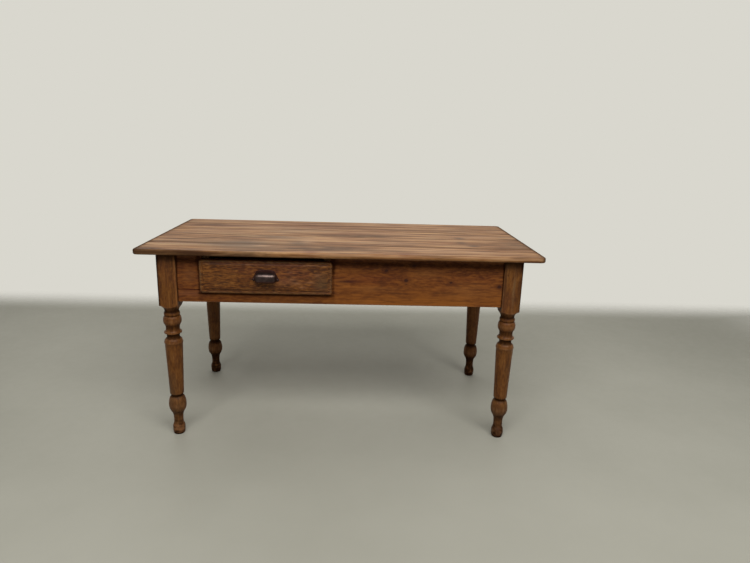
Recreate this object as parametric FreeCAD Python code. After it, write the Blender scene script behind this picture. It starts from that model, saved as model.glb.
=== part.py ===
import FreeCAD, Part
import os

# Farmhouse table with turned legs and one drawer.
# Millimetres. The front is towards -Y, up is +Z, the origin is on the floor under the middle of the top.

# Overall size
table_length = 1500.0
table_depth = 750.0
table_height = 760.0

# Table top, five boards tongued and grooved side by side, all trimmed alike to fill the depth
top_thickness = 20.0
top_corner_radius = 22.0
top_upper_round = 7.0
top_lower_round = 5.0
front_board_width = 157.0
front_mid_board_width = 187.0
middle_board_width = 159.0
back_mid_board_width = 122.0
back_board_width = 125.0
board_seam = 0.6
tongue_thickness = 6.0
tongue_length = 8.0
tongue_clearance = 0.2

# Legs, each turned from one square blank that stays square at the top
end_overhang = 73.0
side_overhang = 37.0
leg_blank = 70.0
leg_arris_round = 1.5
block_length = 196.0

# Turning from the floor up: rise to each station and its radius
sole_radius = 18.5
foot_rise = 26.0
foot_radius = 23.8
ankle_rise = 30.0
ankle_radius = 18.0
stem_rise = 14.0
stem_radius = 18.2
vase_rise = 56.0
vase_radius = 33.4
groove_rise = 37.0
groove_radius = 21.0
shaft_collar = 14.0
shaft_low_radius = 26.4

# Turning from the square block down: fall to each station and its radius
pommel_fall = 33.0
pommel_radius = 26.0
ring_height = 18.0
ring_radius = 29.8
ring_foot_radius = 27.0
bulb_fall = 18.0
bulb_radius = 33.8
bulb_tail = 31.0
bulb_tail_radius = 25.5
disc_upper_cove = 14.5
disc_thickness = 4.5
disc_radius = 32.7
disc_lower_cove = 14.0
collar_radius = 23.5
shoulder_fall = 18.0
bead_height = 12.0
bead_radius = 34.9
bead_foot_radius = 33.2
shaft_high_radius = 33.0

# Share of the span at which a turned curve bends; this value makes a quarter ellipse
curve_fullness = 0.55

# Aprons, tenoned into the legs
apron_height = 184.0
apron_thickness = 22.0
apron_setback = 6.0
apron_arris_round = 2.0
tenon_thickness = 10.0
tenon_length = 35.0
tenon_lower_shoulder = 16.0
tenon_upper_shoulder = 24.0
mortise_clearance = 0.5

# Pegs through the tenons
peg_radius = 4.0
peg_length = 34.0
peg_stand = 0.6
peg_from_shoulder = 15.0
peg_from_tenon_edge = 32.0
peg_clearance = 0.1

# Notch in the front apron, and the drawer front that covers it
notch_from_leg = 94.0
notch_width = 468.0
rail_height = 47.0
lip_overlap = 10.0
lip_gap = 0.3
lip_thickness = 9.5
lip_round = 7.0
lip_corner = 12.0
field_inset = 15.0
field_rise = 2.2
plug_thickness = 12.0
drawer_top_gap = 19.0

# Drawer box
drawer_depth = 500.0
drawer_side_clearance = 2.0
drawer_run_clearance = 0.3
drawer_side_thickness = 12.0
drawer_side_drop = 6.0
drawer_back_thickness = 12.0
drawer_back_drop = 5.0
tail_count = 3
tail_slope = 0.18
tail_lap = 1.0
pin_width = 13.0
panel_thickness = 8.0
panel_rise = 8.0
panel_tongue = 5.0
panel_slack = 0.3
nail_count = 4
nail_radius = 1.3
nail_length = 32.0
nail_head_radius = 3.0
nail_head_height = 1.2
nail_clearance = 0.1

# Cup pull, by its height from the drawer front's lower edge
pull_rise = 52.0
cup_half_width = 38.5
cup_height = 33.0
cup_projection = 26.0
cup_round = 17.0
cup_wall = 2.6
plate_thickness = 2.4
plate_half_width = 50.0
plate_foot_half_width = 45.5
plate_top_half_width = 32.5
plate_height = 43.0
plate_arch = 4.0
plate_ear_rise = 5.0
plate_corner = 3.0
pull_screw_from_centre = 44.5
pull_screw_radius = 1.8
pull_screw_length = 15.0
pull_screw_head_radius = 3.6
pull_screw_head_height = 1.6
pull_screw_clearance = 0.1

# Runners, guides and kickers of the drawer
runner_rise = 1.0
runner_height = 20.0
runner_bearing = 28.0
runner_tenon_length = 8.0
runner_tenon_height = 10.0
runner_tenon_width = 24.0
guide_width = 20.0
guide_height = 26.0
guide_clearance = 1.0
kicker_width = 41.0
kicker_clearance = 2.0

# Buttons that hold the top, and their screws
button_length = 40.0
button_width = 32.0
button_thickness = 22.0
button_lip_length = 8.0
button_lip_thickness = 9.0
button_slot_clearance = 0.5
button_from_notch = 150.0
button_from_leg = 110.0
button_from_middle = 140.0
screw_radius = 2.2
screw_length = 34.0
screw_head_radius = 4.2
screw_head_height = 3.0
screw_clearance = 0.1

# Places that follow from the sizes above
V = FreeCAD.Vector
AXIS_X = V(1, 0, 0)
AXIS_Y = V(0, 1, 0)
AXIS_Z = V(0, 0, 1)
SAME_PLACE = 1e-6
FRONT, BACK, LEFT, RIGHT = -1, 1, -1, 1

underside = table_height - top_thickness
leg_face_x = table_length / 2 - end_overhang
leg_face_y = table_depth / 2 - side_overhang
leg_x = leg_face_x - leg_blank / 2
leg_y = leg_face_y - leg_blank / 2
leg_inner_x = leg_face_x - leg_blank
leg_inner_y = leg_face_y - leg_blank
block_bottom = underside - block_length

apron_bottom = underside - apron_height
apron_face_x = leg_face_x - apron_setback
apron_face_y = leg_face_y - apron_setback
apron_inner_x = apron_face_x - apron_thickness
apron_inner_y = apron_face_y - apron_thickness
tenon_cheek = (apron_thickness - tenon_thickness) / 2
tenon_bottom = apron_bottom + tenon_lower_shoulder
tenon_top = underside - tenon_upper_shoulder
peg_heights = (tenon_bottom + peg_from_tenon_edge, tenon_top - peg_from_tenon_edge)

notch_left = -leg_inner_x + notch_from_leg
notch_right = notch_left + notch_width
notch_floor = apron_bottom + rail_height
runner_top = notch_floor + runner_rise

drawer_left = notch_left + drawer_side_clearance
drawer_right = notch_right - drawer_side_clearance
drawer_middle = (drawer_left + drawer_right) / 2
drawer_bottom = runner_top + drawer_run_clearance
front_top = underside - drawer_top_gap
front_bottom = notch_floor - lip_overlap
side_top = front_top - drawer_side_drop
lip_back = -apron_face_y - lip_gap
lip_front = lip_back - lip_thickness
field_front = lip_front - field_rise
plug_inner = -apron_face_y + plug_thickness
drawer_end = -apron_face_y + drawer_depth
back_inner = drawer_end - drawer_back_thickness
panel_bottom = drawer_bottom + panel_rise
panel_top = panel_bottom + panel_thickness
back_bottom = panel_top + panel_slack
back_top = side_top - drawer_back_drop
pull_bottom = front_bottom + pull_rise

kicker_bottom = side_top + kicker_clearance
button_bottom = underside - button_thickness


def block(xs, ys, zs):
    """Box between two values on each axis, in either order."""
    low = V(min(xs), min(ys), min(zs))
    high = V(max(xs), max(ys), max(zs))
    size = high - low
    return Part.makeBox(size.x, size.y, size.z, low)


def prism(points, direction):
    """Solid swept straight from a polygon."""
    outline = Part.makePolygon(points + points[:1])
    return Part.Face(outline).extrude(direction)


def bend(start, end, leave, arrive):
    """Smooth edge from start to end that leaves and arrives along the given axes."""
    span = end - start
    first = start + leave * (span.dot(leave) * curve_fullness)
    last = end - arrive * (span.dot(arrive) * curve_fullness)
    curve = Part.BezierCurve()
    curve.setPoles([start, first, last, end])
    return curve.toShape()


def straight(start, end):
    """Straight edge."""
    return Part.makeLine(start, end)


def edges_in_plane(edges, axis, value):
    """Those edges that lie in the plane where the coordinate along the axis has the given value."""
    found = []
    for edge in edges:
        if all(abs(vertex.Point.dot(axis) - value) < SAME_PLACE for vertex in edge.Vertexes):
            found.append(edge)
    return found


def edges_along(edges, axis):
    """Those edges that run straight along the axis."""
    found = []
    for edge in edges:
        ends = [vertex.Point for vertex in edge.Vertexes]
        if len(ends) == 2 and (ends[1] - ends[0]).cross(axis).Length < SAME_PLACE:
            found.append(edge)
    return found


def cut_all(shape, tools):
    """Shape with every tool cut away."""
    return shape.cut(tools) if tools else shape


def save(name, shape):
    """Write one node, a solid or a group of separate solids."""
    shape.exportStep(f"parts/{name}.step")


# Table top

def top_slab():
    """Whole top with rounded corners and rounded upper and lower edges."""
    slab = block(
        (-table_length / 2, table_length / 2),
        (-table_depth / 2, table_depth / 2),
        (underside, table_height),
    )
    slab = slab.makeFillet(top_corner_radius, edges_along(slab.Edges, AXIS_Z))
    slab = slab.makeFillet(top_upper_round, edges_in_plane(slab.Edges, AXIS_Z, table_height))
    return slab.makeFillet(top_lower_round, edges_in_plane(slab.Edges, AXIS_Z, underside))


def board_tongue(seam, length, slack):
    """Tongue that reaches back across a seam, or the room for it."""
    middle = (underside + table_height) / 2
    reach = tongue_thickness / 2 + slack
    return block(
        (-table_length / 2, table_length / 2),
        (seam - board_seam, seam + length),
        (middle - reach, middle + reach),
    )


def top_boards(screw_holes):
    """Boards from front to back, each with a tongue at its back edge and a groove at its front edge."""
    widths = {
        "front": front_board_width,
        "front_mid": front_mid_board_width,
        "middle": middle_board_width,
        "back_mid": back_mid_board_width,
        "back": back_board_width,
    }
    names = list(widths)
    trim = (table_depth - sum(widths.values())) / len(names)
    seams = [-table_depth / 2]
    for name in names:
        seams.append(seams[-1] + widths[name] + trim)
    slab = top_slab()
    boards = {}
    for number, name in enumerate(names):
        first = number == 0
        last = number == len(names) - 1
        front = seams[number]
        back = seams[number + 1]
        ends = (-table_length / 2, table_length / 2)
        strip = block(ends, (front, back if last else back - board_seam), (underside, table_height))
        if not last:
            strip = strip.fuse(board_tongue(back, tongue_length, 0.0))
        if not first:
            strip = strip.cut(board_tongue(front, tongue_length + tongue_clearance, tongue_clearance))
        board = slab.common(strip)
        boards[f"top_board_{name}"] = cut_all(board, screw_holes).removeSplitter()
    return boards


# Aprons and their joints with the legs

def long_tenon(side, end, spare):
    """Tenon at one end of the front or back apron, or its mortise."""
    return block(
        (end * leg_inner_x, end * (leg_inner_x + tenon_length + spare)),
        (side * (apron_face_y - tenon_cheek), side * (apron_inner_y + tenon_cheek)),
        (tenon_bottom, tenon_top),
    )


def short_tenon(side, end, spare):
    """Tenon at one end of a side apron, or its mortise."""
    return block(
        (side * (apron_face_x - tenon_cheek), side * (apron_inner_x + tenon_cheek)),
        (end * leg_inner_y, end * (leg_inner_y + tenon_length + spare)),
        (tenon_bottom, tenon_top),
    )


def long_pegs(side, end, slack):
    """Pegs driven from the front or back of a leg through the long apron's tenon, or their holes."""
    x = end * (leg_inner_x + peg_from_shoulder)
    y = side * (leg_face_y + peg_stand)
    radius = peg_radius + slack
    length = peg_length + slack
    return [Part.makeCylinder(radius, length, V(x, y, z), AXIS_Y * -side) for z in peg_heights]


def short_pegs(side, end, slack):
    """Pegs driven from the end face of a leg through the side apron's tenon, or their holes."""
    x = side * (leg_face_x + peg_stand)
    y = end * (leg_inner_y + peg_from_shoulder)
    radius = peg_radius + slack
    length = peg_length + slack
    return [Part.makeCylinder(radius, length, V(x, y, z), AXIS_X * -side) for z in peg_heights]


def long_apron(side, cuts):
    """Front or back apron, between the leg blocks, with its tenons."""
    board = block(
        (-leg_inner_x, leg_inner_x),
        (side * apron_face_y, side * apron_inner_y),
        (apron_bottom, underside),
    )
    lower_edges = edges_along(edges_in_plane(board.Edges, AXIS_Z, apron_bottom), AXIS_X)
    board = board.makeFillet(apron_arris_round, lower_edges)
    tools = list(cuts)
    for end in (LEFT, RIGHT):
        board = board.fuse(long_tenon(side, end, 0.0))
        tools += long_pegs(side, end, peg_clearance)
    return cut_all(board, tools).removeSplitter()


def side_apron(side, cuts):
    """Left or right apron, between the leg blocks, with its tenons."""
    board = block(
        (side * apron_face_x, side * apron_inner_x),
        (-leg_inner_y, leg_inner_y),
        (apron_bottom, underside),
    )
    lower_edges = edges_along(edges_in_plane(board.Edges, AXIS_Z, apron_bottom), AXIS_Y)
    board = board.makeFillet(apron_arris_round, lower_edges)
    tools = list(cuts)
    for end in (FRONT, BACK):
        board = board.fuse(short_tenon(side, end, 0.0))
        tools += short_pegs(side, end, peg_clearance)
    return cut_all(board, tools).removeSplitter()


def drawer_notch():
    """Room cut in the front apron for the drawer, open to its top edge."""
    return block(
        (notch_left, notch_right),
        (-apron_face_y, -apron_inner_y),
        (notch_floor, underside),
    )


# Legs

def leg_outline():
    """Half section of the turning, from the floor to the top of the square block."""
    def station(radius, height):
        return V(radius, 0, height)

    sole = station(sole_radius, 0)
    foot = station(foot_radius, foot_rise)
    ankle = station(ankle_radius, foot.z + ankle_rise)
    stem = station(stem_radius, ankle.z + stem_rise)
    vase = station(vase_radius, stem.z + vase_rise)
    groove = station(groove_radius, vase.z + groove_rise)
    shaft_low = station(shaft_low_radius, groove.z + shaft_collar)

    corner = station(leg_blank, block_bottom)
    pommel = station(pommel_radius, corner.z - pommel_fall)
    ring = station(ring_radius, pommel.z - ring_height / 2)
    ring_foot = station(ring_foot_radius, pommel.z - ring_height)
    bulb = station(bulb_radius, ring_foot.z - bulb_fall)
    bulb_tail_end = station(bulb_tail_radius, bulb.z - bulb_tail)
    disc_upper = station(disc_radius, bulb_tail_end.z - disc_upper_cove)
    disc_lower = station(disc_radius, disc_upper.z - disc_thickness)
    collar = station(collar_radius, disc_lower.z - disc_lower_cove)
    bead_top = station(bead_foot_radius, collar.z - shoulder_fall)
    bead = station(bead_radius, bead_top.z - bead_height / 2)
    shaft_high = station(shaft_high_radius, bead_top.z - bead_height)

    return [
        straight(V(0, 0, 0), sole),
        bend(sole, foot, AXIS_X, AXIS_Z),
        bend(foot, ankle, AXIS_Z, AXIS_Z),
        straight(ankle, stem),
        bend(stem, vase, AXIS_Z, AXIS_Z),
        bend(vase, groove, AXIS_Z, AXIS_X),
        bend(groove, shaft_low, AXIS_Z, AXIS_Z),
        straight(shaft_low, shaft_high),
        Part.Arc(shaft_high, bead, bead_top).toShape(),
        bend(bead_top, collar, AXIS_Z, AXIS_Z),
        bend(collar, disc_lower, AXIS_Z, AXIS_X),
        straight(disc_lower, disc_upper),
        bend(disc_upper, bulb_tail_end, AXIS_X, AXIS_Z),
        bend(bulb_tail_end, bulb, AXIS_Z, AXIS_Z),
        bend(bulb, ring_foot, AXIS_Z, AXIS_X),
        Part.Arc(ring_foot, ring, pommel).toShape(),
        bend(pommel, corner, AXIS_Z, AXIS_X),
        straight(corner, station(leg_blank, underside)),
        straight(station(leg_blank, underside), V(0, 0, underside)),
        straight(V(0, 0, underside), V(0, 0, 0)),
    ]


def leg_blank_turned():
    """One leg on its own axis, the turning kept within the square blank."""
    half = leg_blank / 2
    blank = block((-half, half), (-half, half), (0, underside))
    blank = blank.makeFillet(leg_arris_round, edges_along(blank.Edges, AXIS_Z))
    turning = Part.Face(Part.Wire(leg_outline())).revolve(V(0, 0, 0), AXIS_Z, 360)
    return turning.common(blank)


def legs():
    """The four legs in place, with mortises and peg holes."""
    turned = leg_blank_turned()
    found = {}
    for y_name, y_side in (("front", FRONT), ("back", BACK)):
        for x_name, x_side in (("left", LEFT), ("right", RIGHT)):
            leg = turned.copy()
            leg.translate(V(x_side * leg_x, y_side * leg_y, 0))
            tools = [
                long_tenon(y_side, x_side, mortise_clearance),
                short_tenon(x_side, y_side, mortise_clearance),
            ]
            tools += long_pegs(y_side, x_side, peg_clearance)
            tools += short_pegs(x_side, y_side, peg_clearance)
            found[f"leg_{y_name}_{x_name}"] = cut_all(leg, tools)
    return found


def tenon_pegs():
    """All pegs, two to each tenon."""
    pegs = []
    for side in (FRONT, BACK):
        for end in (LEFT, RIGHT):
            pegs += long_pegs(side, end, 0.0)
            pegs += short_pegs(end, side, 0.0)
    return Part.makeCompound(pegs)


# Drawer

def tails(xs, root, end, bottom, top):
    """Row of dovetails up a drawer side's end, flaring from root to end."""
    pitch = (top - bottom) / tail_count
    wide = (pitch - pin_width) / 2
    narrow = wide - abs(end - root) * tail_slope
    row = []
    for number in range(tail_count):
        middle = bottom + pitch * (number + 0.5)
        outline = [
            V(min(xs), root, middle - narrow),
            V(min(xs), end, middle - wide),
            V(min(xs), end, middle + wide),
            V(min(xs), root, middle + narrow),
        ]
        row.append(prism(outline, V(max(xs) - min(xs), 0, 0)))
    return row


def side_span(side):
    """Outer and inner X of the left or right drawer side."""
    outer = drawer_left if side == LEFT else drawer_right
    return (outer, outer - side * drawer_side_thickness)


def front_tails(side):
    """Tails that lap into the drawer front."""
    end = -apron_face_y + tail_lap
    return tails(side_span(side), plug_inner, end, drawer_bottom, side_top)


def back_tails(side):
    """Tails that pass through the drawer back."""
    return tails(side_span(side), back_inner, drawer_end, back_bottom, back_top)


def panel_room():
    """Grooves round the drawer's inside that take the bottom panel."""
    return block(
        (
            drawer_left + drawer_side_thickness - panel_tongue,
            drawer_right - drawer_side_thickness + panel_tongue,
        ),
        (plug_inner - panel_tongue, drawer_end),
        (panel_bottom, panel_top + panel_slack),
    )


def drawer_side(side):
    """Drawer side with tails at both ends and the groove for the bottom."""
    xs = side_span(side)
    body = block(xs, (plug_inner, back_inner), (drawer_bottom, side_top))
    lower_end = block(xs, (back_inner, drawer_end), (drawer_bottom, back_bottom))
    upper_end = block(xs, (back_inner, drawer_end), (back_top, side_top))
    board = body.fuse([lower_end, upper_end] + front_tails(side) + back_tails(side))
    return board.cut(panel_room()).removeSplitter()


def drawer_front(screw_holes):
    """Lipped front with rounded corners and edge, a raised field and the plug that fills the notch."""
    left = notch_left - lip_overlap
    right = notch_right + lip_overlap
    lip = block((left, right), (lip_front, lip_back), (front_bottom, front_top))
    lip = lip.makeFillet(lip_corner, edges_along(lip.Edges, AXIS_Y))
    lip = lip.makeFillet(lip_round, edges_in_plane(lip.Edges, AXIS_Y, lip_front))
    field = block(
        (left + field_inset, right - field_inset),
        (field_front, lip_front),
        (front_bottom + field_inset, front_top - field_inset),
    )
    plug = block((drawer_left, drawer_right), (lip_back, plug_inner), (drawer_bottom, front_top))
    front = lip.fuse([field, plug])
    tools = front_tails(LEFT) + front_tails(RIGHT) + [panel_room()] + screw_holes
    return cut_all(front, tools).removeSplitter()


def drawer_back(nail_holes):
    """Drawer back, standing on the bottom panel between the tails of the sides."""
    board = block((drawer_left, drawer_right), (back_inner, drawer_end), (back_bottom, back_top))
    return cut_all(board, back_tails(LEFT) + back_tails(RIGHT) + nail_holes).removeSplitter()


def drawer_bottom_panel(nail_holes):
    """Thin panel that slides in from the back, under the drawer back."""
    panel = block(
        (
            drawer_left + drawer_side_thickness - panel_tongue + panel_slack,
            drawer_right - drawer_side_thickness + panel_tongue - panel_slack,
        ),
        (plug_inner - panel_tongue + panel_slack, drawer_end),
        (panel_bottom, panel_top),
    )
    return cut_all(panel, nail_holes)


def bottom_nails(slack):
    """Nails up through the bottom panel into the drawer back, or their holes."""
    y = (back_inner + drawer_end) / 2
    spacing = (drawer_right - drawer_left) / nail_count
    nails = []
    for number in range(nail_count):
        x = drawer_left + spacing * (number + 0.5)
        base = V(x, y, panel_bottom)
        shank = Part.makeCylinder(nail_radius + slack, nail_length + slack, base)
        head = Part.makeCylinder(nail_head_radius + slack, nail_head_height + slack, base)
        nails.append(shank.fuse(head).removeSplitter())
    return nails


# Cup pull

def cup_form(wall, open_by):
    """Rounded cup, or its hollow when set in by the wall and run out below its edge."""
    width = cup_half_width - wall
    front = field_front - cup_projection + wall
    top = pull_bottom + cup_height - wall
    cup = block(
        (drawer_middle - width, drawer_middle + width),
        (field_front, front),
        (pull_bottom - open_by, top),
    )
    brow = edges_in_plane(edges_in_plane(cup.Edges, AXIS_Z, top), AXIS_Y, front)
    corners = edges_in_plane(edges_along(cup.Edges, AXIS_Z), AXIS_Y, front)
    shoulders = edges_along(edges_in_plane(cup.Edges, AXIS_Z, top), AXIS_Y)
    return cup.makeFillet(cup_round - wall, brow + corners + shoulders)


def pull_plate():
    """Flat plate behind the cup, eared at its lower corners, with an arched top."""
    def corner(x, rise):
        return V(drawer_middle + x, field_front, pull_bottom + rise)

    foot_left = corner(-plate_foot_half_width, 0)
    foot_right = corner(plate_foot_half_width, 0)
    ear_left = corner(-plate_half_width, plate_ear_rise)
    ear_right = corner(plate_half_width, plate_ear_rise)
    top_left = corner(-plate_top_half_width, plate_height - plate_arch)
    top_right = corner(plate_top_half_width, plate_height - plate_arch)
    outline = Part.Wire([
        straight(foot_left, foot_right),
        straight(foot_right, ear_right),
        straight(ear_right, top_right),
        Part.Arc(top_right, corner(0, plate_height), top_left).toShape(),
        straight(top_left, ear_left),
        straight(ear_left, foot_left),
    ])
    plate = Part.Face(outline).extrude(V(0, -plate_thickness, 0))
    return plate.makeFillet(plate_corner, edges_along(plate.Edges, AXIS_Y))


def pull_screws(slack):
    """Round-headed screws through the plate's ears into the drawer front, or their holes."""
    screws = []
    z = pull_bottom + plate_ear_rise
    for side in (LEFT, RIGHT):
        x = drawer_middle + side * pull_screw_from_centre
        seat = V(x, field_front - plate_thickness, z)
        shank = Part.makeCylinder(pull_screw_radius + slack, pull_screw_length, seat, AXIS_Y)
        head = Part.makeCone(
            pull_screw_head_radius, pull_screw_head_radius / 2, pull_screw_head_height, seat, -AXIS_Y
        )
        screws.append(shank if slack else shank.fuse(head).removeSplitter())
    return screws


def drawer_pull():
    """Hollow cup, open below and behind, on its plate."""
    shell = cup_form(0.0, 0.0).fuse(pull_plate())
    tools = [cup_form(cup_wall, cup_wall)] + pull_screws(pull_screw_clearance)
    return cut_all(shell, tools).removeSplitter()


# Runners, guides and kickers

def runner_tenons(side, slack):
    """Stub tenons of a runner in the front and back aprons, or their mortises."""
    outer, inner = runner_span(side)
    middle_x = (outer + inner) / 2
    middle_z = runner_top - runner_height / 2
    half_width = runner_tenon_width / 2
    half_height = runner_tenon_height / 2
    reach = apron_inner_y + runner_tenon_length + slack
    return [
        block(
            (middle_x - half_width, middle_x + half_width),
            (end * apron_inner_y, end * reach),
            (middle_z - half_height, middle_z + half_height),
        )
        for end in (FRONT, BACK)
    ]


def guide_span(side):
    """Outer and inner X of the guide beside a drawer side."""
    inner = side_span(side)[0] + side * guide_clearance
    return (inner + side * guide_width, inner)


def runner_span(side):
    """Outer and inner X of the runner under a drawer side and its guide."""
    return (guide_span(side)[0], side_span(side)[0] - side * runner_bearing)


def drawer_runner(side):
    """Bar that carries a drawer side, from the front apron to the back apron."""
    bar = block(
        runner_span(side),
        (-apron_inner_y, apron_inner_y),
        (runner_top - runner_height, runner_top),
    )
    return bar.fuse(runner_tenons(side, 0.0)).removeSplitter()


def drawer_guide(side):
    """Strip on the runner that keeps the drawer straight."""
    return block(
        guide_span(side),
        (-apron_inner_y, apron_inner_y),
        (runner_top, runner_top + guide_height),
    )


def drawer_kicker(side):
    """Bar above a drawer side that stops the open drawer tipping."""
    outer = guide_span(side)[0]
    return block(
        (outer, outer - side * kicker_width),
        (-apron_inner_y, apron_inner_y),
        (kicker_bottom, underside),
    )


# Buttons that hold the top

def button_places():
    """Point on the apron's inner face and inward direction of every button."""
    left_bay = (-leg_inner_x + guide_span(LEFT)[0]) / 2
    right_near = notch_right + button_from_notch
    right_far = leg_inner_x - button_from_leg
    places = []
    for x in (left_bay, right_near, right_far):
        places.append((V(x, -apron_inner_y, underside), AXIS_Y))
    for x in (left_bay, drawer_middle, right_near, right_far):
        places.append((V(x, apron_inner_y, underside), -AXIS_Y))
    for side in (LEFT, RIGHT):
        for y in (-button_from_middle, button_from_middle):
            places.append((V(side * apron_inner_x, y, underside), AXIS_X * -side))
    return places


def button_box(place, inward, near, far, width, bottom, top):
    """Box at a button's place between two distances from the apron's inner face."""
    across = inward.cross(AXIS_Z) * (width / 2)
    first = place + inward * near - across
    second = place + inward * far + across
    return block((first.x, second.x), (first.y, second.y), (bottom, top))


def button_slots():
    """Slots in the aprons' inner faces that take the buttons' lips."""
    return [
        button_box(
            place, inward, -button_lip_length - button_slot_clearance, 0.0,
            button_width + 2 * button_slot_clearance,
            button_bottom - button_slot_clearance, button_bottom + button_lip_thickness,
        )
        for place, inward in button_places()
    ]


def button_screws(slack):
    """Countersunk screws up through the buttons into the top, or their holes."""
    screws = []
    for place, inward in button_places():
        seat = place + inward * (button_length / 2)
        base = V(seat.x, seat.y, button_bottom)
        shank = Part.makeCylinder(screw_radius + slack, screw_length + slack, base)
        head = Part.makeCone(screw_head_radius + slack, screw_radius + slack, screw_head_height, base)
        screws.append(shank.fuse(head).removeSplitter())
    return screws


def top_buttons(screw_holes):
    """Buttons, each a block with a lip in the apron's slot."""
    buttons = []
    for place, inward in button_places():
        body = button_box(place, inward, 0.0, button_length, button_width, button_bottom, underside)
        lip = button_box(
            place, inward, -button_lip_length, 0.0, button_width,
            button_bottom, button_bottom + button_lip_thickness,
        )
        buttons.append(cut_all(body.fuse(lip), screw_holes).removeSplitter())
    return Part.makeCompound(buttons)


def build():
    """Every node of the table by name."""
    top_holes = button_screws(screw_clearance)
    slots = button_slots()
    runner_mortises = runner_tenons(LEFT, mortise_clearance) + runner_tenons(RIGHT, mortise_clearance)
    nail_holes = bottom_nails(nail_clearance)

    nodes = top_boards(top_holes)
    nodes.update(legs())
    nodes["front_apron"] = long_apron(FRONT, [drawer_notch()] + slots + runner_mortises)
    nodes["back_apron"] = long_apron(BACK, slots + runner_mortises)
    nodes["side_apron_left"] = side_apron(LEFT, slots)
    nodes["side_apron_right"] = side_apron(RIGHT, slots)
    nodes["tenon_pegs"] = tenon_pegs()

    nodes["drawer_front"] = drawer_front(pull_screws(pull_screw_clearance))
    nodes["drawer_side_left"] = drawer_side(LEFT)
    nodes["drawer_side_right"] = drawer_side(RIGHT)
    nodes["drawer_back"] = drawer_back(nail_holes)
    nodes["drawer_bottom"] = drawer_bottom_panel(nail_holes)
    nodes["drawer_bottom_nails"] = Part.makeCompound(bottom_nails(0.0))
    nodes["drawer_pull"] = drawer_pull()
    nodes["pull_screws"] = Part.makeCompound(pull_screws(0.0))

    for name, side in (("left", LEFT), ("right", RIGHT)):
        nodes[f"drawer_runner_{name}"] = drawer_runner(side)
        nodes[f"drawer_guide_{name}"] = drawer_guide(side)
        nodes[f"drawer_kicker_{name}"] = drawer_kicker(side)

    nodes["top_buttons"] = top_buttons(top_holes)
    nodes["button_screws"] = Part.makeCompound(button_screws(0.0))
    return nodes


os.makedirs("parts", exist_ok=True)
for node_name, node_shape in build().items():
    save(node_name, node_shape)
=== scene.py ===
import math
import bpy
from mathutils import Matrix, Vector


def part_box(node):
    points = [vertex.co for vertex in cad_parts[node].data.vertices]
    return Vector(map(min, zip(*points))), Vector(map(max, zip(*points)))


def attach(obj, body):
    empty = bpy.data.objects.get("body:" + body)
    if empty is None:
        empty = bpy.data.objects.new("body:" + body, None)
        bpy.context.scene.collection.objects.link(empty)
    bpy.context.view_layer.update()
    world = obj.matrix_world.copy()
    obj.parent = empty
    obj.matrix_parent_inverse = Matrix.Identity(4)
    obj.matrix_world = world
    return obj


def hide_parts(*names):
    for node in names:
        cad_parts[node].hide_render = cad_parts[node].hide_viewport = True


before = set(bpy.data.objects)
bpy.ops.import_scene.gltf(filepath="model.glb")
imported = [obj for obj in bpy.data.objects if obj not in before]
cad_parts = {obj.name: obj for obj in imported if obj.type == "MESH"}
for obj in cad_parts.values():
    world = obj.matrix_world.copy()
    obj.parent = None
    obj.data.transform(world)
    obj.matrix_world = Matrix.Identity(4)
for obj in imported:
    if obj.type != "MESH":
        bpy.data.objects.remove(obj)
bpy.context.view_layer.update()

from types import SimpleNamespace

import bmesh
import bpy
import numpy as np
from mathutils import Matrix, Vector

# Farmhouse table: an old pine table with turned legs, a board top and one drawer.
# Metres, apart from the profile of the legs, TURNING to POMMEL_HEIGHT, and the lists of steps: millimetres.
# The front is towards -Y and the floor is at Z = 0.
# A mark of rubbing, dirt, painted light or painted shade is one strength, or else its width, its strength
# and, where it isn't 0, the distance of its middle.

MM = 0.001
BOARDS = ["top_board_" + place for place in ("front", "front_mid", "middle", "back_mid", "back")]
LEGS = ["leg_front_left", "leg_front_right", "leg_back_left", "leg_back_right"]
SHARP_ANGLE = math.radians(34)

# Table top, with the spacing of its points in from an edge
PLAN_CORNER = 22 * MM
UPPER_ROUND = 7 * MM
LOWER_ROUND = 5 * MM
SEAM_ROUND = 1.2 * MM
TONGUE_LENGTH = 8 * MM
TONGUE_THICKNESS = 6 * MM
GROOVE_DEPTH = 8.3 * MM
GROOVE_THICKNESS = 6.4 * MM
JOINT_COVER = 0.4 * MM
TOP_RELIEF = 0.5 * MM
EDGE_WOBBLE = 0.7 * MM
WOBBLE_REACH = 15 * MM
GRID_STEP = 9 * MM
ROUND_STEPS = [0, 0.25, 0.8, 1.7, 3, 4.6, 6.2, 7.5, 10, 14]
SEAM_STEPS = [0, 0.25, 0.6, 1.2, 2.2, 4, 8]
CORNER_STEPS = [12, 17, 22, 28]
UNDERSIDE_RIM = 8
UNDERSIDE_STEP = 3
BOARD_RIPPLES = [0.31, 0.17, 0.43, 0.09]
BOARD_HOLLOWS = [0.8, 1.3]
HOLLOW_REACH = 20 * MM
EDGE_WAVES = [0.06, 0.13, 0.37, 0.021]
END_WAVES = [0.05, 0.11, 0.023]
EDGE_RUB = (9 * MM, 0.6)
EDGE_DIRT = (8 * MM, 0.9)
SEAM_DIRT = (5 * MM, 0.65)
SEAM_LINE = (1.2 * MM, 0.5)
END_LINE = (11 * MM, 1.0)
END_DIRT = (40 * MM, 0.35)
GRIME_START = 0.05
GRIME_REACH = 0.75
UNDERSIDE_DIRT = 0.5
UNDERSIDE_GRIME = 0.35

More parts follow.
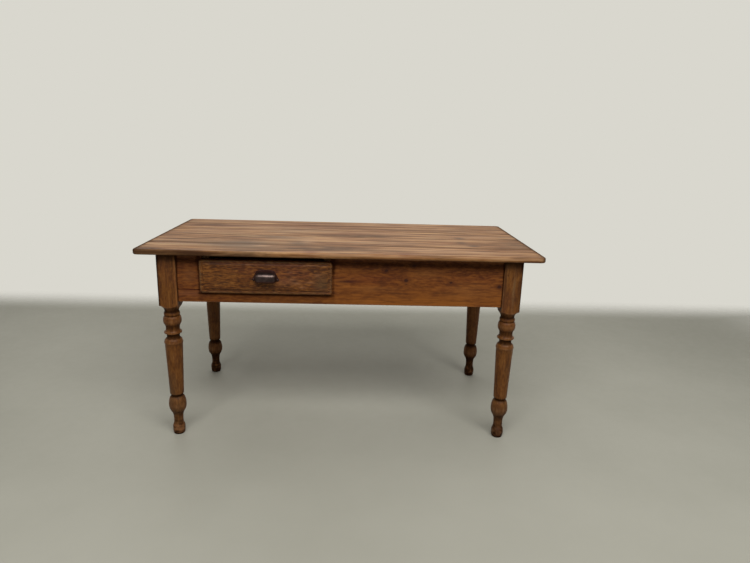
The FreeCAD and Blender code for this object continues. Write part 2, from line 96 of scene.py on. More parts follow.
# Turned leg, radius and height of each station up from the sole, with the way each curve leaves and arrives
TURNING = [
    ("start", 18.5, 0.0),
    ("bend", 23.8, 26.0, "radius", "height"),
    ("bend", 18.0, 56.0, "height", "height"),
    ("line", 18.2, 70.0),
    ("bend", 33.4, 126.0, "height", "height"),
    ("bend", 21.0, 163.0, "height", "radius"),
    ("bend", 26.4, 177.0, "height", "height"),
    ("line", 33.0, 381.0),
    ("bead", 33.2, 393.0, 34.9, 387.0),
    ("bend", 23.5, 411.0, "height", "height"),
    ("bend", 32.7, 425.0, "height", "radius"),
    ("line", 32.7, 429.5),
    ("bend", 25.5, 444.0, "radius", "height"),
    ("bend", 33.8, 475.0, "height", "height"),
    ("bend", 27.0, 493.0, "height", "radius"),
    ("bead", 26.0, 511.0, 29.8, 502.0),
]
TURNING_STEP = 2.2
POMMEL_RADIUS = 70.0
POMMEL_HEIGHT = 544.0
CURVE_FULLNESS = 0.55
BLOCK_ARRIS = 1.6 * MM
BLOCK_WEAR = 0.6 * MM
TURNING_WEAR = 0.35 * MM
GROOVE_REACH = 26 * MM
FOOT_TOP = 140 * MM
TURNING_WAVES = [0.03, 0.05, 0.017]
FOOT_WAVES = [0.014, 0.023, 0.04]
BLOCK_WAVES = [0.05, 0.11, 0.21]
# Marks of the legs: crests are rubbed and get a painted highlight, slopes facing up get painted light, and
# the undersides of bulges,
# the neck below the pommel, the top of the block, the inner faces (with dirt) and the whole back legs get
# painted shade.
CREST_RUB_AND_HIGHLIGHT = 0.55
SLOPE_LIGHT = 0.45
ARRIS_RUB = (3.5 * MM, 0.75)
UNDERCUT_SHADE = 0.4
SOLE_DIRT = (8 * MM, 0.6)
NECK_SHADE = (6 * MM, 0.5)
BLOCK_TOP_SHADE = (30 * MM, 0.8)
OUTER_DIRT = (8 * MM, 0.7)
INNER_SHADE_AND_DIRT = 0.55
BACK_LEG_SHADE = 0.36

# Aprons
APRON_ARRIS = 2.0 * MM
APRON_WEAR = 0.35 * MM
APRON_ROW = 8 * MM
NOTCH_LEFT = -513 * MM
NOTCH_RIGHT = -45 * MM
NOTCH_FLOOR = 603 * MM
CRACK_HEIGHT = 604.6 * MM
CRACK_DEPTH = 5 * MM
CRACK_WIDTH = 1.5 * MM
CRACK_ROW = 0.35 * MM
CRACK_ROWS = 12
ARRIS_STEPS = [0, 0.25, 0.7, 1.3, 2.0, 3.5, 7]
END_STEPS = [0, 1.5, 3.5, 7]
CRACK_STEPS = [0, 3]
APRON_WAVES = [0.07, 0.16, 0.4, 0.11]
CRACK_WAVES = [0.05, 0.023, 0.11]
PLANED_REACH = 6 * MM
LOWER_RUB = (3.5 * MM, 0.8, 1.5 * MM)
SHOULDER_DIRT = (4 * MM, 0.9)
# The next marks, with their reach and fade, paint the shade of the table top's overhang on the apron.
UNDER_TOP_SHADE = (15 * MM, 0.42, 25 * MM)
UPPER_SHADE = 0.28
UPPER_REACH = 85 * MM
UPPER_FADE = 30 * MM
# The rail under the drawer is darker.
RAIL_DARKENING = 0.4
# Painted shadow of the drawer's lip on the apron, broad and as a thin line.
LIP_SHADOW = (11 * MM, 0.32)
LIP_SHADOW_LINE = (3 * MM, 0.4, 4 * MM)
CRACK_DIRT = (2.2 * MM, 0.5)

# Drawer front
LIP_THICKNESS = 9.5 * MM
LIP_ROUND = 7 * MM
LIP_CORNER = 12 * MM
FIELD_INSET = 15 * MM
FIELD_RISE = 2.2 * MM
FRONT_WEAR = 0.7 * MM
FRONT_STEPS = [0, 0.2, 0.7, 1.5, 2.6, 4.0, 5.6, 7.0, 9.0, 11.0, 12.6, 13.6, 14.6, 15.6, 16.6, 18.0, 21.0]
FRONT_COLUMNS = 80
FRONT_ROWS = 22
PLUG_OVERLAP = 0.1 * MM
SMALL_SHELL = 10 * MM
FRONT_WAVES = [0.05, 0.09, 0.21, 0.033]
PLAIN_WEAR = 0.35
FIELD_WEAR = (5 * MM, 0.65, FIELD_INSET)
LIP_RUB = (6 * MM, 0.6, 5 * MM)
FIELD_RUB = (2.5 * MM, 0.3, 17 * MM)
MOULDING_DIRT = (2 * MM, 0.15, 13.5 * MM)
# Painted shadow below the pull.
PULL_SHADOW = (9 * MM, 0.75)
LIP_BACK_DIRT = 0.4

# Cup pull
CUP_HALF_WIDTH = 38.5 * MM
CUP_HEIGHT = 33 * MM
CUP_ROUND = 17 * MM
CUP_WALL = 2.6 * MM
PLATE_THICKNESS = 2.4 * MM
PLATE_FOOT = 45.5 * MM
PLATE_EAR = 50 * MM
PLATE_EAR_RISE = 5 * MM
PLATE_TOP = 32.5 * MM
PLATE_ARCH = 4 * MM
PLATE_HEIGHT = 43 * MM
PLATE_ROUND = 0.7 * MM
# Painted highlight along the cup's shoulder, and painted shade at its rim and inside it.
CUP_HIGHLIGHT = (4 * MM, 1.0, CUP_HEIGHT - 9 * MM)
RIM_SHADE = 0.8
RIM_SHADE_REACH = 8 * MM
PLATE_DIRT = 0.7

# Small fixings
PEG_RADIUS = 4 * MM
PEG_STAND = 0.6 * MM
PEG_HEIGHTS = [604 * MM, 684 * MM]
PEG_X = 622 * MM
PEG_Y = 283 * MM
PEG_SIDES = 9
HEAD_SINK = 3 * MM
DOME_LEVELS = [(1.0, 0.25), (0.86, 0.62), (0.6, 0.86), (0.3, 0.97)]
SCREW_HEAD_RADIUS = 3.6 * MM
SCREW_HEAD_HEIGHT = 1.6 * MM
SCREW_SIDES = 28
SCREW_SLANTS = (24, 71)
SLOT_HALF_WIDTH = 0.5 * MM
SLOT_DEPTH = 0.8 * MM

# Floor, with the distances over which it fades into the pale surround
FLOOR_FADE_BACK = (1.25, 1.7)
FLOOR_FADE_FRONT = (2.4, 4.0)
FLOOR_FADE_SIDE = (2.4, 4.0)

# Camera, as the picture was taken
LENS = 27.045
SENSOR_WIDTH = 36.0
CAMERA_PLACE = Vector((0.050868, -2.363188, 1.179178))
CAMERA_ROLL = -0.0296424
CAMERA_PITCH = 0.2553569
CAMERA_YAW = 0.0361359


# Shape helpers

def smooth(value):
    """Smooth step from 0 to 1."""
    value = np.clip(value, 0.0, 1.0)
    return value * value * (3 - 2 * value)


def bell(distance, width, strength=1.0, middle=0.0):
    """Soft hump, strongest at its middle and almost nothing at twice its width from there."""
    return strength * np.exp(-((distance - middle) / width) ** 2)


def waves(seed, lengths, *places):
    """Seeded ripple between -1 and 1, a sum of slanted sine waves of the given lengths."""
    draw = np.random.RandomState(seed)
    total = 0.0
    for length in lengths:
        slant = draw.normal(size=len(places))
        slant /= np.linalg.norm(slant)
        phase = draw.uniform(0, 2 * math.pi)
        travel = sum(place * part for place, part in zip(places, slant))
        total = total + np.sin(2 * math.pi * travel / length + phase)
    return total / len(lengths)


def uneven(depth, seed, lengths, *places):
    """Seeded wear between nothing and a depth."""
    return depth * 0.5 * (1 + waves(seed, lengths, *places))


def edge_drop(distance, radius):
    """Fall of a quarter-round edge at a distance in from it."""
    inside = np.clip(radius - distance, 0.0, radius)
    return radius - np.sqrt(radius * radius - inside * inside)


def stations(start, end, near_start, near_end, step):
    """Places from start to end at about one step, with given steps near both ends."""
    first = start + MM * np.array(near_start)
    last = end - MM * np.array(near_end)[::-1]
    count = max(2, int(round((last[0] - first[-1]) / step)) + 1)
    middle = np.linspace(first[-1], last[0], count)
    return np.concatenate([first, middle[1:-1], last])


def ring_quads(start, rows, columns):
    """Quads between closed rings of points."""
    quads = []
    for low in range(start, start + (rows - 1) * columns, columns):
        for column in range(columns):
            after = (column + 1) % columns
            quads.append((low + column, low + after, low + columns + after, low + columns + column))
    return quads


def grid_quads(start, rows, columns):
    """Quads between open rows of points."""
    quads = []
    for low in range(start, start + (rows - 1) * columns, columns):
        for first in range(low, low + columns - 1):
            quads.append((first, first + 1, first + columns + 1, first + columns))
    return quads


def loft_faces(rows, columns):
    """Quads between closed rings, with a cap at both ends."""
    last = (rows - 1) * columns
    caps = [tuple(reversed(range(columns))), tuple(range(last, last + columns))]
    return ring_quads(0, rows, columns) + caps


def slab_faces(rows, columns, kept):
    """Faces of a slab made from two grids, front and back, over the kept cells."""
    count = rows * columns
    solid = np.pad(kept, 1)
    faces = []
    for row, column in np.argwhere(kept).tolist():
        first = row * columns + column
        quad = (first, first + columns, first + columns + 1, first + 1)
        faces.append(quad)
        faces.append(tuple(index + count for index in reversed(quad)))
        neighbours = (
            (solid[row, column + 1], quad[0], quad[3]),
            (solid[row + 2, column + 1], quad[1], quad[2]),
            (solid[row + 1, column], quad[0], quad[1]),
            (solid[row + 1, column + 2], quad[3], quad[2]),
        )
        faces += [(one, two, two + count, one + count) for beside, one, two in neighbours if not beside]
    return faces


def make_piece(node, points, faces, wear_and_highlight, dirt_and_shade, material, body="frame", rework=None):
    """Smooth closed mesh in place of a CAD node, riding on its body, with marks of wear and painted light,
    and of dirt and painted shade.
    """
    mesh = bpy.data.meshes.new(node)
    mesh.from_pydata(np.reshape(points, (-1, 3)).tolist(), [], faces)
    for mark, values in (("wear_and_highlight", wear_and_highlight), ("dirt_and_shade", dirt_and_shade)):
        layer = mesh.attributes.new(mark, "FLOAT", "POINT")
        layer.data.foreach_set("value", np.ravel(values).astype(np.float32))
    work = bmesh.new()
    work.from_mesh(mesh)
    loose = [vert for vert in work.verts if not vert.link_faces]
    bmesh.ops.delete(work, geom=loose, context="VERTS")
    bmesh.ops.recalc_face_normals(work, faces=work.faces)
    if rework:
        rework(work)
        bmesh.ops.recalc_face_normals(work, faces=work.faces)
    work.to_mesh(mesh)
    work.free()
    mesh.polygons.foreach_set("use_smooth", [True] * len(mesh.polygons))
    mesh.set_sharp_from_angle(angle=SHARP_ANGLE)
    mesh.materials.append(material)
    piece = bpy.data.objects.new(node + "_look", mesh)
    bpy.context.scene.collection.objects.link(piece)
    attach(piece, body)
    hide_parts(node)
    return piece


def ease_edges(piece, width, angle):
    """Round off the edges that are sharper than an angle."""
    ease = piece.modifiers.new("ease", "BEVEL")
    ease.width = width
    ease.segments = 2
    ease.limit_method = "ANGLE"
    ease.angle_limit = math.radians(angle)


# Materials

def tone(red, green, blue):
    """Linear colour from display values between 0 and 255."""
    return tuple(((value / 255 + 0.055) / 1.055) ** 2.4 for value in (red, green, blue)) + (1.0,)


def ramp(*stops):
    """Row of tones, each with its place between 0 and 1."""
    return [(place, tone(*shade)) for place, *shade in stops]


class Graph:
    """Shader nodes of a material or of the surround."""

    def __init__(self, owner, kind):
        owner.use_nodes = True
        self.owner = owner
        self.tree = owner.node_tree
        self.tree.nodes.clear()
        self.output = self.add("Output" + kind)

    def add(self, kind, *values, **settings):
        """New node with the given settings, and values for its first inputs."""
        node = self.tree.nodes.new("ShaderNode" + kind)
        for key, value in settings.items():
            setattr(node, key, value)
        for socket, value in zip(node.inputs, values):
            self.join(socket, value)
        return node

    def join(self, socket, value):
        """Link a socket to an output, or set it to a value."""
        if isinstance(value, bpy.types.NodeSocket):
            self.tree.links.new(socket, value)
        else:
            socket.default_value = value

    def feed(self, node, inputs):
        """Link or set inputs of a node by their names."""
        for name, value in inputs.items():
            self.join(node.inputs[name], value)

    def math(self, operation, *values):
        """Plain function of one or more numbers."""
        return self.add("Math", *values, operation=operation).outputs[0]

    def less(self, first, second):
        """First number less the second."""
        return self.math("SUBTRACT", first, second)

    def times(self, first, second, more=0.0):
        """Product of two numbers, with more added to it."""
        return self.math("MULTIPLY_ADD", first, second, more)

    def step(self, value, low, high, first=0.0, last=1.0):
        """Smooth step between two limits."""
        return self.add("MapRange", value, low, high, first, last, interpolation_type="SMOOTHSTEP").outputs[0]

    def mix(self, share, first, second):
        """Blend of two colours."""
        node = self.add("Mix", share, data_type="RGBA")
        self.join(node.inputs[6], first)
        self.join(node.inputs[7], second)
        return node.outputs[2]

    def blend_tones(self, value, stops):
        """Colour along a row of tones."""
        node = self.add("ValToRGB", value)
        elements = node.color_ramp.elements
        for element, (place, shade) in zip(elements, (stops[0], stops[-1])):
            element.position = place
            element.color = shade
        for place, shade in stops[1:-1]:
            elements.new(place).color = shade
        return node.outputs[0]

    def axes(self, order="XYZ"):
        """Place on the object, as three numbers in the given order of axes."""
        parts = self.add("SeparateXYZ", self.add("TexCoord").outputs["Object"])
        return [parts.outputs["XYZ".index(axis)] for axis in order]

    def vector(self, *values):
        """Three numbers as one vector."""
        return self.add("CombineXYZ", *values).outputs[0]

    def noise(self, place, scale, seed, detail=3.0, roughness=0.55, curl=0.0, output=0):
        """Soft noise from 0 to 1, with one scale along the grain and one across it."""
        spread = self.add("Mapping")
        shift = (1.7 * seed, 2.3 * seed, 3.1 * seed)
        self.feed(spread, {"Vector": place, "Scale": (scale[0], scale[1], scale[1]), "Location": shift})
        texture = self.add("TexNoise")
        self.feed(texture, {"Vector": spread.outputs[0], "Scale": 1.0, "Detail": detail})
        self.feed(texture, {"Roughness": roughness, "Distortion": curl})
        return texture.outputs[output]

    def blot(self, places, centre, size):
        """Soft round spot, 1 at its centre."""
        square = 0.0
        for place, middle, reach in zip(places, centre, size):
            away = self.math("DIVIDE", self.less(place, middle), reach)
            square = self.times(away, away, square)
        return self.math("EXPONENT", self.times(square, -1.0))

    def mark(self, name):
        """Number marked on the mesh points."""
        return self.add("Attribute", attribute_name=name).outputs["Fac"]


def new_skin(name):
    """Nodes of a new material with one surface shader."""
    graph = Graph(bpy.data.materials.new(name), "Material")
    graph.surface = graph.add("BsdfPrincipled")
    graph.feed(graph.output, {"Surface": graph.surface.outputs[0]})
    return graph


def finish_skin(graph, relief, distance, strength, inputs):
    """Set the surface's inputs and its small relief, and give back the material."""
    bump = graph.add("Bump")
    graph.feed(bump, {"Height": relief, "Distance": distance, "Strength": strength})
    graph.feed(graph.surface, {"Normal": bump.outputs[0], **inputs})
    return graph.owner


# Kinds of wood: tones from the deepest streak to the palest, shades with their shares, and the figure
# The dirt tone of each kind also colours the painted shade of the pieces made from it.
TOP_PINE = SimpleNamespace(
    tones=ramp((0.38, 65, 37, 15), (0.46, 119, 77, 40), (0.53, 160, 111, 65), (0.61, 198, 151, 101)),
    late=tone(88, 52, 26), late_share=0.7, grey=tone(118, 94, 68), grey_share=0.6, blush=tone(142, 91, 50),
    worn=tone(174, 136, 102), dirt_and_shade=tone(62, 42, 28), knot=tone(76, 44, 27),
    spacing=7 * MM, sway=26 * MM, ripple=9 * MM, broad=(2.2, 22.0), narrow=(3.5, 100.0), curl=0.3,
    fine=0.36, speck=(8.0, 70.0), speck_share=0.4, fibre=0.3, roughness=0.5, relief=0.5,
)
FRAME_PINE = SimpleNamespace(
    tones=ramp((0.36, 88, 44, 11), (0.46, 105, 55, 15), (0.54, 118, 65, 20), (0.64, 137, 80, 30)),
    late=tone(72, 31, 8), late_share=0.36, grey=tone(102, 60, 24), grey_share=0.5, blush=tone(106, 52, 20),
    worn=tone(130, 82, 42), dirt_and_shade=tone(36, 13, 2), knot=tone(48, 18, 6),
    spacing=12 * MM, sway=26 * MM, ripple=10 * MM, broad=(8.0, 22.0), narrow=(11.0, 100.0), curl=0.7,
    fine=0.5, speck=(45.0, 140.0), speck_share=0.6, fibre=0.3, roughness=0.44, relief=0.45,
)
LEG_PINE = SimpleNamespace(
    tones=ramp((0.36, 77, 41, 11), (0.45, 97, 55, 16), (0.54, 113, 67, 22), (0.64, 130, 83, 36)),
    late=tone(70, 37, 11), late_share=0.38, grey=tone(98, 69, 40), grey_share=0.6, blush=tone(104, 58, 28),
    worn=tone(128, 88, 54), dirt_and_shade=tone(26, 11, 3), knot=tone(46, 24, 10),
    spacing=5 * MM, sway=9 * MM, ripple=4 * MM, broad=(14.0, 38.0), narrow=(16.0, 130.0), curl=0.8,
    fine=0.45, speck=(60.0, 150.0), speck_share=0.4, fibre=0.3, roughness=0.46, relief=0.45,
)
DRAWER_OAK = SimpleNamespace(
    tones=ramp((0.37, 52, 24, 5), (0.45, 87, 45, 10), (0.54, 112, 63, 17), (0.63, 148, 94, 40)),
    late=tone(56, 29, 12), late_share=0.55, grey=tone(104, 74, 42), grey_share=0.6, blush=tone(112, 58, 32),
    worn=tone(116, 86, 54), dirt_and_shade=tone(32, 15, 5), knot=tone(42, 21, 9),
    spacing=7 * MM, sway=34 * MM, ripple=26 * MM, broad=(11.0, 38.0), narrow=(30.0, 150.0), curl=1.4,
    fine=0.55, speck=(48.0, 180.0), speck_share=0.7, fibre=0.5, roughness=0.5, relief=1.0,
)
BARE_PINE = SimpleNamespace(
    tones=ramp((0.3, 126, 92, 58), (0.43, 156, 120, 80), (0.55, 174, 138, 96), (0.7, 190, 156, 114)),
    late=tone(130, 90, 54), late_share=0.5, grey=tone(140, 122, 98), grey_share=0.5, blush=tone(168, 122, 76),
    worn=tone(192, 160, 120), dirt_and_shade=tone(70, 50, 32), knot=tone(84, 52, 28),
    spacing=4.5 * MM, sway=14 * MM, ripple=3 * MM, broad=(2.5, 30.0), narrow=(5.0, 110.0), curl=0.2,
    fine=0.42, speck=(50.0, 120.0), speck_share=0.2, fibre=0.3, roughness=0.66, relief=0.5,
)

# Scales of the figure that all kinds of wood share, along the grain and across it
SWAY_SCALE = (1.3, 6.0)
FIBRE_SCALE = (12.0, 900.0)
CLOUD_SCALE = (3.0, 9.0)
FLECK_SCALE = (60.0, 160.0)
WOOD_RELIEF = 0.5 * MM


def wood_figure(graph, kind, grain, seed):
    """Noises that draw the wood's figure, and the place on it, straight and crooked."""
    along, across, deep = graph.axes(grain)
    place = graph.vector(along, across, deep)
    broad = graph.noise(place, kind.broad, seed + 1, 4.0, 0.52, kind.curl)
    narrow = graph.noise(place, kind.narrow, seed + 2, 3.0, 0.55, kind.curl)
    fleck = graph.noise(place, FLECK_SCALE, seed + 5)
    crooked_along = graph.times(graph.less(fleck, 0.5), 14 * MM, along)
    crooked_across = graph.times(graph.less(narrow, 0.5), 10 * MM, across)
    return SimpleNamespace(
        straight=(along, across, deep),
        crooked=(crooked_along, crooked_across),
        sway=graph.noise(place, SWAY_SCALE, seed, 2.0, output=1),
        drift=graph.noise(place, kind.broad, seed + 6, 1.0),
        narrow=narrow,
        fibre=graph.noise(place, FIBRE_SCALE, seed + 3, 2.0),
        cloud=graph.noise(place, CLOUD_SCALE, seed + 4, 4.0, 0.6),
        fleck=fleck,
        speck=graph.noise(place, kind.speck, seed + 7, 2.0),
        streak=graph.times(narrow, kind.fine, graph.times(broad, 1 - kind.fine)),
    )


def late_wood(graph, kind, figure, heart, seed, knots):
    """Dark part of the growth rings about the log's heart, with the rings bent round the knots."""
    along, across, deep = figure.straight
    sway = graph.add("SeparateColor", figure.sway).outputs
    first = graph.times(graph.less(sway[0], 0.5), kind.sway * 2, graph.less(across, heart[0]))
    second = graph.times(graph.less(sway[1], 0.5), kind.sway * 2, graph.less(deep, heart[1]))
    first = graph.times(along, 0.02, first)
    first = graph.times(figure.drift, kind.ripple, first)
    square = graph.times(first, first, graph.times(second, second))
    growth = graph.math("DIVIDE", graph.math("SQRT", square), kind.spacing)
    for spot, turns in knots:
        growth = graph.times(spot, turns, growth)
    ring = graph.math("FRACT", growth)
    year = graph.add("TexWhiteNoise", noise_dimensions="1D")
    graph.feed(year, {"W": graph.math("ADD", graph.math("FLOOR", growth), float(seed))})
    late = graph.times(graph.step(ring, 0.35, 0.86), graph.step(ring, 0.9, 1.0, 1.0, 0.0))
    late = graph.times(late, graph.step(year.outputs["Value"], 0.0, 1.0, 0.3, 1.0))
    return graph.times(late, graph.step(figure.cloud, 0.36, 0.62, 1.0, 0.5))


def wood(name, kind, grain, heart, seed, knots=(), stains=()):
    """Wood of a log whose heart lies off the piece: growth rings, fibres, knots, stains, wear and dirt, with
    painted light and shade from the marks.
    """
    graph = new_skin(name)
    figure = wood_figure(graph, kind, grain, seed)
    eyes = 0.0
    halo = 0.0
    swirls = []
    for centre, size, turns in knots:
        spot = graph.blot(figure.straight[:2], centre, (size * 4.5, size * 2.4))
        halo = graph.math("MAXIMUM", halo, spot)
        eyes = graph.math("MAXIMUM", eyes, graph.blot(figure.crooked, centre, (size * 1.3, size)))
        swirls.append((spot, turns))
    late = late_wood(graph, kind, figure, heart, seed, swirls)

    colour = graph.blend_tones(figure.streak, kind.tones)
    colour = graph.mix(graph.step(figure.cloud, 0.34, 0.48, 0.55, 0.0), colour, kind.blush)
    colour = graph.mix(graph.times(late, kind.late_share), colour, kind.late)
    colour = graph.mix(graph.step(figure.cloud, 0.52, 0.7, 0.0, kind.grey_share), colour, kind.grey)
    colour = graph.mix(graph.step(figure.speck, 0.5, 0.68, 0.0, kind.speck_share), colour, kind.late)
    colour = graph.mix(graph.step(figure.speck, 0.32, 0.5, kind.speck_share, 0.0), colour, kind.tones[-1][1])
    for centre, size, shade, share in stains:
        spot = graph.blot(figure.crooked, centre, size)
        spot = graph.times(spot, graph.step(figure.streak, 0.36, 0.58, 0.35, 1.0))
        colour = graph.mix(graph.times(spot, share), colour, shade)
    colour = graph.mix(graph.step(figure.fibre, 0.42, 0.68, 0.0, kind.fibre), colour, kind.dirt_and_shade)
    if knots:
        colour = graph.mix(graph.step(halo, 0.15, 0.9, 0.0, 0.6), colour, kind.late)
        colour = graph.mix(graph.step(eyes, 0.15, 0.7, 0.0, 0.95), colour, kind.knot)

    # The wear mark lightens wear and painted light; the dirt mark darkens dirt and painted shade.
    wear_and_highlight = graph.mark("wear_and_highlight")
    worn = graph.times(graph.less(figure.narrow, 0.5), 1.4, wear_and_highlight)
    worn = graph.times(graph.step(worn, 0.25, 0.95), graph.step(wear_and_highlight, 0.02, 0.3))
    colour = graph.mix(graph.times(worn, 0.7), colour, kind.worn)
    dirt_and_shade = graph.mark("dirt_and_shade")
    soiled_and_shaded = graph.times(graph.less(figure.fleck, 0.5), 0.5, dirt_and_shade)
    soiled_and_shaded = graph.times(graph.step(soiled_and_shaded, 0.1, 0.95), graph.step(dirt_and_shade, 0.02, 0.25))
    colour = graph.mix(graph.times(soiled_and_shaded, 0.85), colour, kind.dirt_and_shade)

    rough = graph.step(figure.streak, 0.3, 0.7, kind.roughness + 0.1, kind.roughness - 0.06)
    relief = graph.times(late, 0.35, graph.times(figure.fibre, 0.8))
    relief = graph.times(figure.narrow, 0.9, relief)
    relief = graph.times(figure.fleck, 0.5, relief)
    return finish_skin(graph, relief, WOOD_RELIEF, kind.relief, {
        "Base Color": colour,
        "Roughness": graph.times(soiled_and_shaded, 0.2, rough),
        "Specular IOR Level": graph.times(soiled_and_shaded, -0.18, 0.22),
    })


def iron(name):
    """Old dark iron with a brown skin, brighter by the wear mark, which on the cup is a painted highlight."""
    graph = new_skin(name)
    place = graph.vector(*graph.axes())
    cloud = graph.noise(place, (60.0, 60.0), 11, 4.0)
    grit = graph.noise(place, (420.0, 420.0), 12, 3.0)
    colour = graph.blend_tones(cloud, ramp((0.3, 33, 22, 21), (0.5, 51, 38, 36), (0.7, 68, 53, 51)))
    colour = graph.mix(graph.step(grit, 0.55, 0.75, 0.0, 0.6), colour, tone(52, 28, 16))
    # The wear mark brightens the iron; on the cup it is a painted highlight along the shoulder. The dirt mark
    # darkens it:
    # the plate's own dark patina, and painted shade at the cup's rim and inside it.
    rubbed = graph.step(graph.times(graph.less(cloud, 0.5), 0.35, graph.mark("wear_and_highlight")), 0.15, 1.0)
    colour = graph.mix(graph.times(rubbed, 0.85), colour, tone(132, 112, 104))
    colour = graph.mix(graph.step(graph.mark("dirt_and_shade"), 0.1, 0.9, 0.0, 0.85), colour, tone(56, 20, 11))
    rough = graph.times(grit, 0.12, graph.step(cloud, 0.3, 0.7, 0.42, 0.3))
    relief = graph.times(cloud, 0.8, grit)
    inputs = {"Base Color": colour, "Metallic": 0.7, "Roughness": rough}
    return finish_skin(graph, relief, 0.3 * MM, 0.5, inputs)


def steel(name):
    """Plain steel of screws and nails, dulled and spotted with rust."""
    graph = new_skin(name)
    place = graph.vector(*graph.axes())
    cloud = graph.noise(place, (150.0, 150.0), 21, 4.0)
    grit = graph.noise(place, (900.0, 900.0), 22, 2.0)
    colour = graph.blend_tones(cloud, ramp((0.35, 92, 86, 80), (0.52, 124, 118, 110), (0.66, 104, 66, 42)))
    rough = graph.step(cloud, 0.35, 0.68, 0.36, 0.7)
    inputs = {"Base Color": colour, "Metallic": 0.85, "Roughness": rough}
    return finish_skin(graph, grit, 0.15 * MM, 0.4, inputs)


# Table top

top_corners = [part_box(name) for name in BOARDS]
half_length = max(high.x for low, high in top_corners)
half_depth = max(high.y for low, high in top_corners)
table_height = max(high.z for low, high in top_corners)
underside = min(low.z for low, high in top_corners)


def corner_inset(x):
    """How far the rounded plan corner draws the long edge in at a place along the length."""
    return edge_drop(half_length - np.abs(x), PLAN_CORNER)


def plan_distance(x, y):
    """Distance in from the rounded outline of the whole top."""
    from_end = half_length - np.abs(x)
    from_side = half_depth - np.abs(y)
    arc = PLAN_CORNER - np.hypot(PLAN_CORNER - from_end, PLAN_CORNER - from_side)
    in_corner = (from_end < PLAN_CORNER) & (from_side < PLAN_CORNER)
    return np.maximum(np.where(in_corner, arc, np.minimum(from_end, from_side)), 0.0)


def top_board(name, material):
    """One board of the top, worn a little hollow, with its tongue and groove and the rounded outer edges."""
    seed = 40 + BOARDS.index(name)
    first = name == BOARDS[0]
    last = name == BOARDS[-1]
    low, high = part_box(name)
    front = low.y
    back = high.y if last else high.y - TONGUE_LENGTH
    end_steps = ROUND_STEPS + CORNER_STEPS
    front_steps = ROUND_STEPS if first else SEAM_STEPS
    back_steps = ROUND_STEPS if last else SEAM_STEPS
    along = stations(-half_length, half_length, end_steps, end_steps, GRID_STEP)
    across = stations(front, back, front_steps, back_steps, GRID_STEP)
    x, y = np.meshgrid(along, across, indexing="ij")
    narrowed = 1 - corner_inset(x) / (back - front)
    if first:
        y = back - (back - y) * narrowed
    if last:
        y = front + (y - front) * narrowed

    from_outline = plan_distance(x, y)
    far = np.full_like(y, half_length)
    from_seam = np.minimum(far if first else y - front, far if last else back - y)
    ripple = waves(seed, BOARD_RIPPLES, x * 0.4, y * 2.2)
    hollow = waves(seed + 20, BOARD_HOLLOWS, x, y)
    fall = TOP_RELIEF * (0.5 * (1 - ripple) + 0.4 * (1 - hollow))
    upper = table_height - fall * smooth(from_outline / HOLLOW_REACH) - edge_drop(from_outline, UPPER_ROUND)
    upper = upper - edge_drop(from_seam, SEAM_ROUND)
    lower = underside + edge_drop(from_outline, LOWER_ROUND)

    drawn = uneven(EDGE_WOBBLE, seed + 40, EDGE_WAVES, x)
    if first:
        y = y + drawn * np.exp(-(y - y[:, :1]) / WOBBLE_REACH)
    if last:
        y = y - drawn * np.exp(-(y[:, -1:] - y) / WOBBLE_REACH)
    pulled = uneven(EDGE_WOBBLE, seed + 50, END_WAVES, y)
    x = x - np.sign(x) * pulled * np.exp(-(half_length - np.abs(x)) / WOBBLE_REACH)

    ceiling = np.minimum(upper[:, 0], upper[:, -1]) - JOINT_COVER
    floor = np.maximum(lower[:, 0], lower[:, -1]) + JOINT_COVER

    def joint(edge, reach, thickness):
        """Section of a tongue or groove, from its upper corner at the edge to its lower one."""
        heights = (table_height + underside) / 2 + thickness * np.array([0.5, 0.5, -0.5, -0.5])
        return [(edge + out, np.clip(z, floor, ceiling)) for out, z in zip((0, reach, reach, 0), heights)]

    count = len(across)
    inner = range(UNDERSIDE_RIM, count - UNDERSIDE_RIM)
    skipped = {column for column in inner if (column - UNDERSIDE_RIM) % UNDERSIDE_STEP}
    under = [column for column in reversed(range(count)) if column not in skipped]
    section = [(y[:, column], upper[:, column]) for column in range(count)]
    if not last:
        section += joint(y[:, -1], TONGUE_LENGTH, TONGUE_THICKNESS)
    section += [(y[:, column], lower[:, column]) for column in under]
    if not first:
        section += joint(y[:, 0], GROOVE_DEPTH, GROOVE_THICKNESS)[::-1]
    points = np.zeros((len(along), len(section), 3))
    points[:, :, 0] = x[:, :1]
    points[:, :count, 0] = x
    points[:, :, 1] = np.column_stack([place for place, height in section])
    points[:, :, 2] = np.column_stack([height for place, height in section])

    from_end = half_length - np.abs(x)
    grimy = np.clip((GRIME_START - x) / GRIME_REACH, 0.0, 1.0) if first else np.zeros_like(x)
    seam_dirt = bell(from_seam, *SEAM_DIRT) + bell(from_seam, *SEAM_LINE)
    end_dirt = bell(from_end, *END_LINE) + bell(from_end, *END_DIRT)
    edge_dirt = grimy * bell(from_outline, *EDGE_DIRT)
    wear_and_highlight = np.zeros(points.shape[:2])
    wear_and_highlight[:, :count] = (1 - grimy) * bell(from_outline, *EDGE_RUB)
    dirt_and_shade = np.zeros(points.shape[:2])
    dirt_and_shade[:, :count] = np.clip(seam_dirt + end_dirt + edge_dirt, 0.0, 1.0)
    dirt_and_shade[:, count:] = UNDERSIDE_DIRT + UNDERSIDE_GRIME * grimy[:, :1]
    return make_piece(name, points, loft_faces(*points.shape[:2]), wear_and_highlight, dirt_and_shade, material)


# Legs

